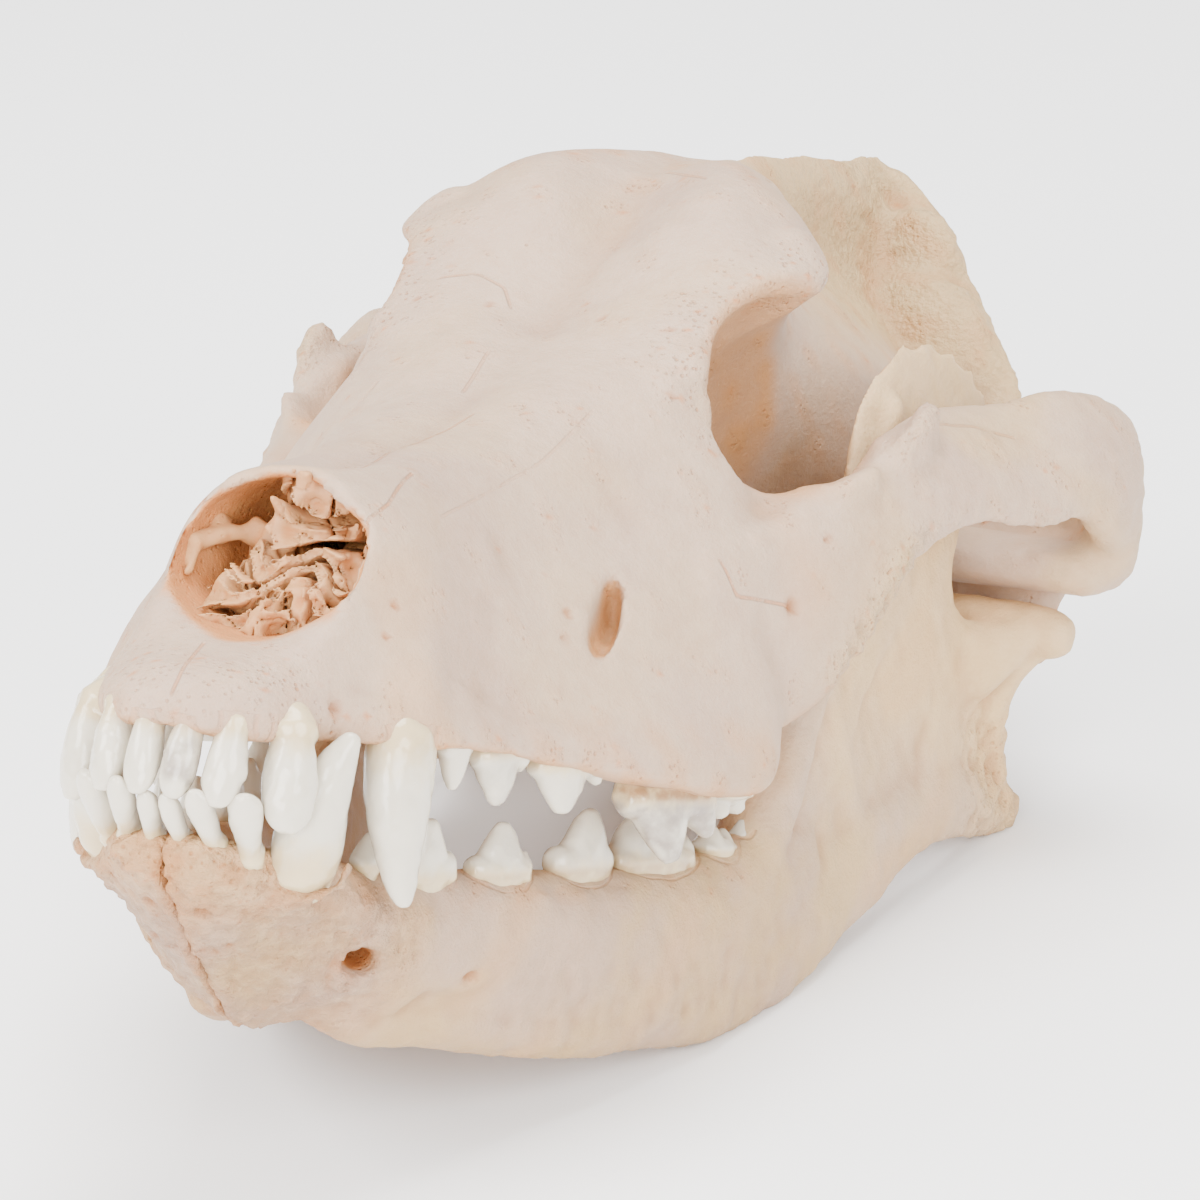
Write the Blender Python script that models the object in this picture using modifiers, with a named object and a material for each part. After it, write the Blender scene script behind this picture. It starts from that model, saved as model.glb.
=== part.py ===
"""Great dane skull: cranium, the two dentaries of the lower jaw, and forty-two teeth.

The bones are laid out in the skull's own frame, in millimetres: x to the animal's left, y backwards from
the front of the upper jaw, z upwards from the line of the upper tooth sockets. An empty then tips the
whole skull nose up, the way it stands on the belly and the rear hooks of its lower jaw.
"""

import math

import bmesh
import bpy
import numpy as np
from mathutils import Matrix, Vector

MM = 0.001

# How the skull stands: the tip that puts the jaw's belly and its rear hooks on one surface, then the shift
# that brings the middle of the whole skull over the origin and its four low places down to the surface.
NOSE_UP_DEG = 17.2
STANDING_BACK_MM = -138.6
STANDING_UP_MM = 86.2

# The jaw hinge runs straight across through the middle of both condyles.
HINGE_Y_MM = 214.0
HINGE_Z_MM = 16.0
CONDYLE_RADIUS_MM = 5.0

# Grain of the bones as they are fused, and how many triangles each is then thinned to.
CRANIUM_GRAIN_MM = 1.7
DENTARY_GRAIN_MM = 1.4
TOOTH_GRAIN_MM = 0.7
CRANIUM_TRIANGLES = 2640
DENTARY_TRIANGLES = 630
INCISOR_TRIANGLES = 48
CHEEK_TOOTH_TRIANGLES = 76
CANINE_TRIANGLES = 90
SOCKET_GAP_MM = 0.45
SYMPHYSIS_GAP_MM = 0.4
CANINE_ROOT_MM = 7
CANINE_BOW_MM = 1.8


def clear_scene():
    for obj in list(bpy.data.objects):
        bpy.data.objects.remove(obj, do_unlink=True)


def collection(name):
    made = bpy.data.collections.new(name)
    bpy.context.scene.collection.children.link(made)
    return made


def finish(name, colour, roughness):
    made = bpy.data.materials.new(name)
    made.use_nodes = True
    shader = made.node_tree.nodes["Principled BSDF"]
    shader.inputs["Base Color"].default_value = (*colour, 1)
    shader.inputs["Roughness"].default_value = roughness
    shader.inputs["Metallic"].default_value = 0
    return made


def smooth_between(keys, values, at):
    """Values read off the smooth curve through the given keys, as a spline bent along them would give."""
    keys = np.asarray(keys, float)
    values = np.asarray(values, float)
    values = values.reshape(len(keys), -1)
    step = np.diff(keys)[:, None]
    rise = np.diff(values, axis=0) / step
    slope = np.empty_like(values)
    slope[0] = rise[0]
    slope[-1] = rise[-1]
    slope[1:-1] = (rise[:-1] * step[1:] + rise[1:] * step[:-1]) / (step[1:] + step[:-1])
    index = np.clip(np.searchsorted(keys, at, side="right") - 1, 0, len(keys) - 2)
    width = step[index]
    t = (np.asarray(at)[:, None] - keys[index][:, None]) / width
    return (
        values[index] * (2 * t**3 - 3 * t**2 + 1)
        + slope[index] * width * (t**3 - 2 * t**2 + t)
        + values[index + 1] * (3 * t**2 - 2 * t**3)
        + slope[index + 1] * width * (t**3 - t**2)
    )


def lengths_along(points):
    steps = np.linalg.norm(np.diff(np.asarray(points, float), axis=0), axis=1)
    return np.concatenate([[0], np.cumsum(np.maximum(steps, 1e-6))])


def skin(rings):
    """A closed tube through rings of equal count, with a point in the middle of each end."""
    count = len(rings[0])
    points = [tuple(p) for ring in rings for p in ring]
    faces = []
    for i in range(len(rings) - 1):
        for j in range(count):
            k = (j + 1) % count
            faces.append((i * count + j, i * count + k, (i + 1) * count + k, (i + 1) * count + j))
    for ring, first in ((rings[0], 0), (rings[-1], (len(rings) - 1) * count)):
        middle = len(points)
        points.append(tuple(np.mean(ring, axis=0)))
        for j in range(count):
            k = (j + 1) % count
            faces.append((middle, first + k, first + j) if first == 0 else (middle, first + j, first + k))
    return points, faces


def roll(path, sizes, up=(0, 0, 1), sides=14, pieces=24, square=1.0):
    """A rounded roll along a smooth path. Each size is its half width and half height there. The height
    points along up, which is one direction or one for each point of the path."""
    path = np.asarray(path, float)
    sizes = np.asarray(sizes, float).reshape(len(path), 2)
    along = lengths_along(path)
    at = np.linspace(0, along[-1], pieces)
    centre = smooth_between(along, path, at)
    size = np.maximum(smooth_between(along, sizes, at), 0.2)
    tangent = np.gradient(centre, axis=0)
    tangent /= np.linalg.norm(tangent, axis=1)[:, None]
    ups = np.broadcast_to(np.asarray(up, float), path.shape)
    across = np.cross(tangent, smooth_between(along, ups, at))
    across /= np.linalg.norm(across, axis=1)[:, None]
    over = np.cross(across, tangent)
    angle = np.linspace(0, 2 * math.pi, sides, endpoint=False)
    wide = np.sign(np.cos(angle)) * np.abs(np.cos(angle)) ** square
    high = np.sign(np.sin(angle)) * np.abs(np.sin(angle)) ** square
    rings = []
    for end in (0, None, -1):
        if end is None:
            for c, s, a, o in zip(centre, size, across, over):
                rings.append(c + np.outer(wide * s[0], a) + np.outer(high * s[1], o))
            continue
        c, s, a, o = centre[end], size[end], across[end], over[end]
        out = tangent[end] * (-1 if end == 0 else 1) * min(s) * 0.6
        ring = c + out + np.outer(wide * s[0] * 0.6, a) + np.outer(high * s[1] * 0.6, o)
        rings.append(ring)
    return skin(rings)


def loft(stations, around=36, pieces=60):
    """A body that is the same on both sides. Each station is its y and the left half of its section,
    from the middle of the top, round the side, to the middle of the bottom."""
    ys = np.array([y for y, _ in stations], float)
    halves = []
    half_count = around // 2 + 1
    for _, half in stations:
        along = lengths_along(half)
        halves.append(smooth_between(along, half, np.linspace(0, along[-1], half_count)).reshape(-1))
    at = np.linspace(ys[0], ys[-1], pieces)
    rings = []
    for y, flat in zip(at, smooth_between(ys, np.array(halves), at)):
        half = flat.reshape(-1, 2)
        left = [(max(x, 0), y, z) for x, z in half]
        left[0] = (0, y, half[0][1])
        left[-1] = (0, y, half[-1][1])
        right = [(-x, y, z) for x, y, z in left[-2:0:-1]]
        rings.append(left + right)
    return skin(np.array(rings))


def ball(centre, radii, turn=(0, 0, 0)):
    """A ball stretched along its own axes, turned by three angles in degrees."""
    clay = bmesh.new()
    turned = Matrix.Rotation(math.radians(turn[2]), 4, "Z")
    turned @= Matrix.Rotation(math.radians(turn[1]), 4, "Y")
    turned @= Matrix.Rotation(math.radians(turn[0]), 4, "X")
    placed = Matrix.Translation(centre) @ turned @ Matrix.Diagonal((*radii, 1))
    bmesh.ops.create_uvsphere(clay, u_segments=20, v_segments=12, radius=1, matrix=placed)
    points = [tuple(v.co) for v in clay.verts]
    faces = [tuple(v.index for v in f.verts) for f in clay.faces]
    clay.free()
    return points, faces


def mirrored(shape):
    points, faces = shape
    return [(-x, y, z) for x, y, z in points], [tuple(reversed(f)) for f in faces]


def both(shape):
    return [shape, mirrored(shape)]


def clay_object(name, shapes, home, frame):
    """One mesh of overlapping shapes, with every shape facing out."""
    clay = bmesh.new()
    for points, faces in shapes:
        corners = [clay.verts.new(Vector(p) * MM) for p in points]
        for face in faces:
            clay.faces.new([corners[i] for i in face])
    bmesh.ops.recalc_face_normals(clay, faces=clay.faces)
    mesh = bpy.data.meshes.new(name)
    clay.to_mesh(mesh)
    clay.free()
    obj = bpy.data.objects.new(name, mesh)
    home.objects.link(obj)
    obj.parent = frame
    return obj


def fuse(obj, grain_mm, soften=0):
    remesh = obj.modifiers.new("Fuse", "REMESH")
    remesh.mode = "VOXEL"
    remesh.voxel_size = grain_mm * MM
    remesh.use_smooth_shade = True
    if soften:
        smooth = obj.modifiers.new("Soften", "SMOOTH")
        smooth.factor = 0.5
        smooth.iterations = soften


def cut(obj, cutter, overlapping=False):
    boolean = obj.modifiers.new("Cut " + cutter.name, "BOOLEAN")
    boolean.operation = "DIFFERENCE"
    boolean.solver = "EXACT"
    boolean.use_self = overlapping
    boolean.object = cutter


def thin(obj, triangles):
    """Thins a fused body, whose faces are all quads, to about this many triangles."""
    bpy.context.view_layer.update()
    graph = bpy.context.evaluated_depsgraph_get()
    quads = len(obj.evaluated_get(graph).data.polygons)
    decimate = obj.modifiers.new("Thin", "DECIMATE")
    decimate.ratio = triangles / (2 * quads)


def cutter_object(name, shapes, home, frame, grain_mm=None):
    obj = clay_object(name, shapes, home, frame)
    if grain_mm:
        fuse(obj, grain_mm, soften=2)
    obj.hide_render = True
    obj.display_type = "WIRE"
    return obj


# The muzzle, from the incisors back to the cheek. Each half section runs: middle of the nose, edge of the
# nose, upper flank, flank, flank above the sockets, outer edge of the sockets, inner edge, palate, middle.
MUZZLE = [
    (-3, [(0, 6.4), (3, 6.4), (5, 5.8), (6.5, 4.6), (6.8, 3.2), (6, 2), (4, 1.6), (2, 1.8), (0, 2)]),
    (2, [(0, 9.6), (5, 9.6), (8.5, 8.8), (11.6, 6.6), (13, 3.8), (12, 1.4), (8, 0.8), (4, 1.8), (0, 2.2)]),
    (8, [(0, 11.8), (6, 11.8), (11, 10.8), (14.8, 7.8), (17, 3.8), (16.2, 1.2), (10.5, 0.8), (5, 2.4), (0, 2.8)]),
    (14, [(0, 13.8), (7, 14), (12.5, 13.2), (16.4, 9.6), (19, 3.8), (18.2, 0.8), (12.5, 1.2), (6, 3.2), (0, 3.6)]),
    (20, [(0, 16), (8, 17.4), (14.4, 19), (17.8, 12), (21, 4.6), (21.8, 1), (15, 1.8), (7, 4), (0, 4.4)]),
    (26, [(0, 31), (7, 31.4), (13.2, 28.4), (19, 17.6), (24, 6), (26, 1), (18, 2.2), (9, 4.6), (0, 5)]),
    (31, [(0, 39.4), (7, 38.4), (13.8, 34.2), (20.4, 20), (26, 7), (28.6, 1), (20, 2.4), (10, 5), (0, 5.4)]),
    (36, [(0, 40.2), (7.4, 39.4), (14.2, 36.2), (21.4, 21.6), (27.4, 7), (30.6, 1), (21.4, 2.4), (10.5, 5), (0, 5.5)]),
    (42, [(0, 39.8), (7.4, 39.9), (14.4, 36.8), (21.8, 22.4), (28.4, 8), (32, 0.6), (22.4, 2.2), (11, 5), (0, 5.5)]),
    (54, [(0, 39.9), (8, 40.4), (14, 37), (21.8, 24.4), (29.8, 9), (34.4, -1), (23.6, 0.6), (12, 4.5), (0, 5.5)]),
    (70, [(0, 42.8), (8, 43), (14.5, 39.6), (23.8, 27), (33, 10), (39, -3), (27, -2), (14, 4), (0, 5)]),
    (86, [(0, 45.8), (8, 46.5), (16, 43.6), (27.4, 31), (39, 12), (46.6, -5.6), (31.4, -4.6), (16, 3), (0, 5)]),
    (100, [(0, 50.8), (9, 52.4), (19, 49), (31.5, 35), (43.4, 14), (50.6, -7), (34, -6), (17, 2.5), (0, 5)]),
    (112, [(0, 56.5), (10, 58.6), (22, 56), (34.5, 42), (46, 18), (51.6, -7), (35.5, -6), (17, 2.5), (0, 5)]),
    (122, [(0, 61), (11, 63), (22, 61.5), (34, 48), (44, 22), (47, -5), (35, -5.4), (17, 3), (0, 5)]),
    (129, [(0, 64.5), (12, 66.5), (22, 65.5), (33, 50), (41, 26), (41, 2), (33, -1), (17, 4), (0, 6)]),
]

# Brow, orbit wall, waist and braincase. Each half section runs: middle of the top, brow or crest, slope,
# outer edge, under the edge, side wall, lower side wall, edge of the base, middle of the base.
VAULT = [
    (104, [(0, 52.5), (9, 54), (18, 51.5), (26, 43), (28, 34), (27, 26), (24, 17), (17, 8), (0, 6)]),
    (118, [(0, 59), (11, 61.5), (21, 61), (29, 57), (26, 48), (21, 39), (18, 26), (14, 14), (0, 12)]),
    (130, [(0, 65.5), (13, 69), (24, 69.5), (31.5, 65.5), (28, 58), (20, 48), (16.5, 32), (13.5, 17), (0, 15)]),
    (141, [(0, 73), (15, 79.5), (27, 77.6), (36, 72.6), (32, 67), (20, 56), (15.5, 36), (13, 20), (0, 20)]),
    (150, [(0, 79), (17, 86.4), (28.5, 80.6), (38.6, 74.4), (33, 68.5), (20, 60), (15.5, 38), (12.5, 21), (0, 22)]),
    (158, [(0, 85), (17.5, 89.2), (27.6, 84), (33.6, 74), (29, 67.5), (20, 59), (15.5, 40), (12.5, 21), (0, 23)]),
    (168, [(0, 88.8), (14, 90.4), (21.5, 84.4), (24.5, 72), (24, 63), (21, 53), (17, 40), (13.5, 22), (0, 22)]),
    (180, [(0, 90), (8, 90), (13, 81.5), (19.5, 69), (23.5, 58), (25, 47), (22, 34), (16, 21), (0, 19)]),
    (194, [(0, 91), (3.4, 88.6), (6.5, 78), (18.5, 67), (27.5, 56), (30, 44), (27, 30), (18, 19), (0, 16.5)]),
    (212, [(0, 92), (2.8, 88.6), (5, 77), (17.5, 67), (28, 56), (32, 43), (29.5, 28), (18, 17.5), (0, 15.5)]),
    (232, [(0, 92.6), (2.8, 89), (5, 75), (16.5, 63), (27, 52), (31.5, 40), (29, 27), (18, 16.5), (0, 15.5)]),
    (250, [(0, 92.6), (3, 89), (5.6, 75), (13.5, 62), (22.5, 51), (27.5, 39), (25.5, 27), (16, 18), (0, 18)]),
    (262, [(0, 93), (3.4, 89), (7, 76), (13.5, 64), (19, 53), (21, 42), (18, 31), (11, 25), (0, 26)]),
    (268, [(0, 93), (3.4, 89), (7, 77), (10.5, 66), (12.5, 56), (12.5, 48), (9, 41), (6, 38), (0, 38)]),
]

# The left cheek arch: middle of its section, half its thickness and half its height, and how many degrees
# its upper edge leans in towards the braincase.
ARCH = [
    ((36, 106, 20), (6, 12), 0),
    ((43, 122, 17.5), (6, 17.5), 0),
    ((48.4, 134, 26), (5.4, 14), 8),
    ((52, 146, 36.5), (4.4, 11), 22),
    ((55, 157, 42.4), (3.8, 10.4), 33),
    ((57.2, 170, 45.6), (3.6, 11), 40),
    ((62, 183, 45.4), (3.9, 12), 38),
    ((67, 197, 47.8), (4.5, 11.6), 28),
    ((69.4, 208, 45.2), (5.1, 12.8), 16),
    ((68.6, 217, 42), (5.4, 12.6), 6),
    ((63.6, 224.5, 35), (6, 12), 0),
    ((54, 229, 32), (7, 9), 0),
    ((43, 231, 30), (7, 8), 0),
    ((30, 231, 29), (7, 7), 0),
]


def leaning(degrees):
    """The upward direction of a section whose upper edge leans towards the middle of the skull."""
    return (-math.sin(math.radians(degrees)), 0, math.cos(math.radians(degrees)))


def cranium_clay():
    shapes = [loft(MUZZLE, pieces=80), loft(VAULT, pieces=90)]
    centre, size, lean = zip(*ARCH)
    ups = [leaning(degrees) for degrees in lean]
    shapes += both(roll(centre, size, up=ups, pieces=64, sides=18, square=0.85))
    # The upright knob on the arch behind the eye.
    shapes += both(roll([(53.6, 154, 44), (55, 156, 51), (55.4, 157, 55)], [(3.4, 7), (2.8, 5), (2.2, 2.6)], up=(0, 1, 0)))
    # The rounded lower edge of the orbit.
    shapes += both(roll([(30, 121, 42), (35, 127, 36.4), (41.5, 132, 35.6), (48, 137, 39), (52.5, 142, 44)],
                        [(3, 3), (3.4, 3.2), (3.6, 3.4), (3.2, 3.2), (2.4, 2.4)], pieces=20))
    # The root bulge of each canine, running up and back over the flank.
    shapes += both(roll([(23.4, 33, 3), (21.8, 37, 12), (19.4, 47, 21)], [(5, 6.4), (4.2, 5.6), (3.2, 4)], up=(0, 1, 0)))
    # The fins at the back of the skull, flaring from the crest down to behind the ears.
    fin = [(0, 266, 88), (5, 267, 86), (10, 265.5, 81.4), (15, 263, 75.6), (20.5, 259.8, 69), (26, 256, 62),
           (31.5, 253, 54), (34, 246, 43), (34, 239, 30)]
    fin_size = [(2.8, 4), (2.6, 4.8), (2.4, 5), (2.4, 5), (2.4, 5), (2.6, 5.4), (3, 6), (3.2, 6), (4, 6)]
    shapes += both(roll(fin, fin_size, up=[(0.1, 0, 1)] * 2 + [(0.75, 0, 0.6)] * 6 + [(1, 0, 0)], pieces=40))
    # Back wall between the fins, ear region and base.
    shapes += both(ball((9, 261, 72), (11, 5, 14), (0, 35, -12)))
    shapes += both(ball((14, 255, 56), (20, 9, 18), (0, 0, -14)))
    shapes += both(ball((22, 250, 36), (15, 10, 16)))
    shapes += both(ball((20, 226, 12), (9.5, 13, 10)))
    shapes += both(ball((31, 238, 22), (8, 9, 10)))
    shapes += both(roll([(27, 250, 24), (28, 254, 15), (28, 255, 9)], [(5, 4.5), (4, 3.6), (2.4, 2.2)], up=(0, 1, 0)))
    shapes += both(ball((12.5, 263, 28), (7.5, 8.5, 9), (20, 0, 15)))
    shapes.append(roll([(0, 176, 20), (0, 215, 18.5), (0, 258, 21)], [(12, 4), (13, 4), (11, 4)]))
    # The hollow that takes each condyle, and the stop behind it.
    shapes += both(roll([(36, 217, 27.5), (50, 218, 27.2), (66, 217, 28)], [(10, 4.8), (10, 4.6), (8, 5)], pieces=20))
    shapes += both(roll([(49, 227, 27), (51.5, 227, 18), (54, 228, 10)], [(9, 4.5), (6.4, 3.4), (3.4, 2.2)], up=(0, 1, 0)))
    shapes += both(roll([(41, 228.5, 27), (42, 229, 19), (44, 229, 14)], [(6, 4), (5, 3.4), (3, 2.6)], up=(0, 1, 0)))
    # The wings below the orbits, on both sides of the throat passage.
    wing = [(14.5, 126, 12), (13.5, 142, 13), (12.5, 158, 14), (12, 172, 13), (12.5, 182, 14)]
    shapes += both(roll(wing, [(2.8, 8), (2.3, 9), (2.2, 10), (2.2, 9), (2.6, 6)], pieces=24))
    shapes += both(roll([(24, 121, 3), (22, 130, 3), (18, 137, 5)], [(8, 5), (6, 4.5), (4, 3.5)], pieces=16))
    return shapes


def cranium_cutters():
    """The nose opening, the orbits, the passages and the holes in the bone."""
    nose = roll([(0, 8, 27), (0, 20, 26.2), (0, 30, 26.2), (0, 44, 24.8), (0, 62, 23)],
                [(12.6, 11), (13.8, 11.6), (14, 11.6), (13.2, 11.6), (11, 9.6)], pieces=26, sides=20)
    nose_notch = ball((0, 21.5, 43), (15.5, 13.5, 13))
    orbits = both(roll([(48, 128, 62), (41, 138, 57), (31, 147, 51), (23, 155, 45)],
                       [(19, 19), (17, 17.6), (14.5, 15), (9, 10)], pieces=22, sides=20))
    orbits += both(ball((38.6, 129, 51), (12, 10.5, 11.8)))
    below_orbits = both(roll([(34, 139, 28), (33, 151, 26), (33, 167, 26)],
                             [(8, 9), (12.5, 15), (14, 18)], pieces=18, sides=16))
    throat = roll([(0, 136, 12), (0, 152, 9), (0, 170, 9), (0, 184, 4)], [(9.5, 5), (10, 8), (9.8, 8), (9, 6)], pieces=20)
    brain_hole = roll([(0, 246, 36), (0, 258, 33), (0, 276, 30)], [(8.5, 7.5), (8.8, 8), (11, 10)], pieces=12)
    below_eye = both(roll([(40, 74, 20), (33.5, 83, 19.5), (30, 94, 20)], [(2.2, 5.5), (2.2, 5.2), (1.8, 4)], pieces=12))
    clear = CONDYLE_RADIUS_MM + 1.2
    condyle_room = both(roll([(33, HINGE_Y_MM, HINGE_Z_MM), (52, HINGE_Y_MM, HINGE_Z_MM), (72, HINGE_Y_MM, HINGE_Z_MM)],
                             [(clear - 0.6,) * 2, (clear,) * 2, (clear - 0.6,) * 2], pieces=12, sides=20))
    return {
        "nose_opening": [nose],
        "nose_notch": [nose_notch],
        "orbit_hollows": orbits,
        "hollows_below_orbits": below_orbits,
        "throat_passage": [throat],
        "spinal_opening": [brain_hole],
        "holes_below_eyes": below_eye,
        "condyle_rooms": condyle_room,
    }


# The front of the lower jaw, where the two dentaries meet. Each half section runs: middle of the top, inner
# edge of the teeth, outer edge of the teeth, down the side, to the middle of the bottom.
CHIN = [
    (1, [(0, -15), (4, -15), (6.6, -15.6), (8, -17.4), (6.6, -19.6), (3.6, -20.8), (0, -21.4)]),
    (8, [(0, -15.6), (6.5, -15.2), (11.6, -16.4), (12.6, -19), (9.4, -23.5), (5, -26.2), (0, -27.2)]),
    (15, [(0, -16.4), (7.5, -16.6), (16, -17.4), (17, -20.5), (11.8, -26.6), (6.4, -31.8), (0, -34)]),
    (22, [(0, -18), (8, -18), (18.4, -18.4), (20, -22), (14.8, -28.4), (8.2, -34.4), (0, -39.6)]),
    (30, [(0, -22), (8, -20), (19.4, -19.4), (22, -24), (17.6, -31), (10.2, -37.8), (0, -45)]),
    (38, [(0, -28), (8, -23.4), (19.6, -20), (23.8, -25.5), (20.8, -33), (13.4, -40.6), (0, -47)]),
    (46, [(0, -37), (8, -28), (19.8, -20.8), (25.2, -26.4), (23.2, -35), (15.6, -42.8), (0, -46.4)]),
    (51, [(0, -42), (8, -33), (20.4, -22), (25.6, -27), (25.2, -36), (18, -43), (0, -44.4)]),
]

# The left dentary: middle of its section, then half its thickness and half its height. The first body
# carries the teeth; the keel is the rounded border below it, and runs on to the hook at the rear; the side
# joins the two in one smooth flank.
TOOTH_BEARING_BODY = [
    ((17.2, 42, -29), (5.6, 9)),
    ((21.6, 55, -29.8), (6.2, 9.4)),
    ((26.4, 72, -30.4), (6.7, 9.6)),
    ((31.2, 90, -31), (7, 10)),
    ((35.4, 108, -31.2), (7.2, 10.8)),
    ((38.6, 124, -30), (6.9, 11.4)),
    ((41, 138, -27), (6.2, 11.2)),
    ((43, 152, -24), (5, 11)),
]
JAW_KEEL = [
    ((9.6, 44, -39), (4.6, 7.8)),
    ((13.2, 55, -40.8), (5.2, 8.4)),
    ((16.2, 60, -40.8), (5.7, 8.4)),
    ((21.6, 72, -41.2), (6.1, 9)),
    ((28.6, 90, -41.4), (6.4, 10)),
    ((34.2, 108, -40.4), (6.6, 10.9)),
    ((38.4, 124, -39), (6.2, 11.6)),
    ((41.2, 138, -36.2), (5.6, 11.6)),
    ((43.4, 152, -30.8), (4.8, 11.2)),
    ((45, 166, -25), (4.1, 10.4)),
    ((46.8, 182, -18.6), (3.5, 8.8)),
    ((48.2, 197, -15), (3.2, 7)),
    ((49.4, 211, -14.2), (3.2, 6.3)),
    ((50.4, 222, -15.6), (3.2, 5)),
    ((51, 230, -17), (2.8, 3.2)),
]
JAW_SIDE = [
    ((13, 43, -34.6), (5.4, 6.6)),
    ((16.6, 55, -35.4), (6, 7)),
    ((24, 72, -36), (6.7, 8.6)),
    ((29.8, 90, -36.4), (7, 9.6)),
    ((34.8, 108, -36), (7.1, 10.2)),
    ((38.5, 124, -34.5), (6.7, 11.2)),
    ((41, 138, -31.5), (6, 11.6)),
    ((43.2, 152, -27.5), (5, 11)),
]

# The upright blade of the left dentary, seen from the side, as y and z round its edge.
BLADE_EDGE = [
    (136, -38), (138, -18), (145, 6), (151, 26), (156, 42), (158.5, 53), (164, 60), (172, 63.8), (182, 65),
    (192, 63.6), (202, 60), (209, 54.5), (208, 47), (202, 38), (198, 30), (199, 22), (205, 18), (214, 15), (220, 8), (221, 1), (221.5, -5),
    (225, -11), (232, -14.5), (229, -19), (212, -19), (190, -22.5), (165, -33),
]


def blade_x(y, z):
    """How far out the blade stands at a place on it: it leans in towards its top."""
    return 46.5 + (y - 185) * 0.085 - max(z - 15, 0) * 0.045


def blade(edge, thick):
    """The blade: its outline closed over with a fan of rings that thin towards the edge."""
    edge = np.array(edge, float)
    along = lengths_along(np.vstack([edge, edge[:1]]))
    closed = smooth_between(along, np.vstack([edge, edge[:1]]), np.linspace(0, along[-1], 61))[:-1]
    middle = closed.mean(axis=0)
    rings = []
    for side in (1, -1):
        rows = [(0.93, 0.45), (0.8, 0.85), (0.4, 1.0), (0.05, 1.0)]
        for scale, share in rows if side == -1 else rows[::-1]:
            ring = middle + (closed - middle) * scale
            rings.append([(blade_x(y, z) + side * thick * share / 2, y, z) for y, z in ring])
        if side == 1:
            rings.append([(blade_x(y, z), y, z) for y, z in closed])
    return skin(np.array(rings))


def dentary_clay():
    """The whole front of the jaw, which the gap at its middle then parts, and the left dentary behind it."""
    shapes = [loft(CHIN, pieces=40), blade(BLADE_EDGE, 4.6)]
    for body in (TOOTH_BEARING_BODY, JAW_SIDE, JAW_KEEL):
        centre, size = zip(*body)
        shapes.append(roll(centre, size, pieces=80, sides=18, square=0.9))
    # The broad front of the blade and the ridge that runs from it to the condyle.
    front = [(40.4, 135, -21), (41, 142, -6), (42.2, 151, 14), (43.4, 160, 36), (43.6, 168, 54)]
    shapes.append(roll(front, [(5.6, 6), (5.2, 6), (4, 4.4), (3.2, 3.2), (2.5, 3)], up=(1, 0, 0)))
    shapes.append(roll([(49, 206, 9), (52, 212, 14)], [(5, 7), (8, 4.5)], pieces=10))
    neck = [(50, 224, -14), (50, 219, -4), (52, 216, 7), (56, 214, 13)]
    shapes.append(roll(neck, [(2.6, 3.4), (2.8, 3.2), (3.4, 3.6), (4, 4)], up=(1, 0, 0)))
    # The condyle is round about the hinge.
    ends = CONDYLE_RADIUS_MM - 0.6
    shapes.append(roll([(41, HINGE_Y_MM, HINGE_Z_MM), (52, HINGE_Y_MM, HINGE_Z_MM), (62.5, HINGE_Y_MM, HINGE_Z_MM)],
                       [(ends, ends), (CONDYLE_RADIUS_MM,) * 2, (ends, ends)], pieces=12, sides=20))
    return shapes


def dentary_cutters():
    holes = [
        roll([(30, 30, -34), (20, 34.5, -33.6), (14, 42, -33)], [(2.8, 2.2), (2.6, 2.1), (1.8, 1.6)], pieces=8, sides=10),
        roll([(36, 56, -37), (28, 59, -36.7), (22, 64, -36)], [(1.3, 1.3), (1.2, 1.2), (1, 1)], pieces=8, sides=8),
    ]
    inner = [roll([(35, 173, -8), (41, 166, -8.5), (43.6, 160, -10)], [(3, 5), (2.2, 3.6), (1, 2)], pieces=8, sides=10)]
    return {"chin_holes": holes, "nerve_hole": inner}


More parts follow.
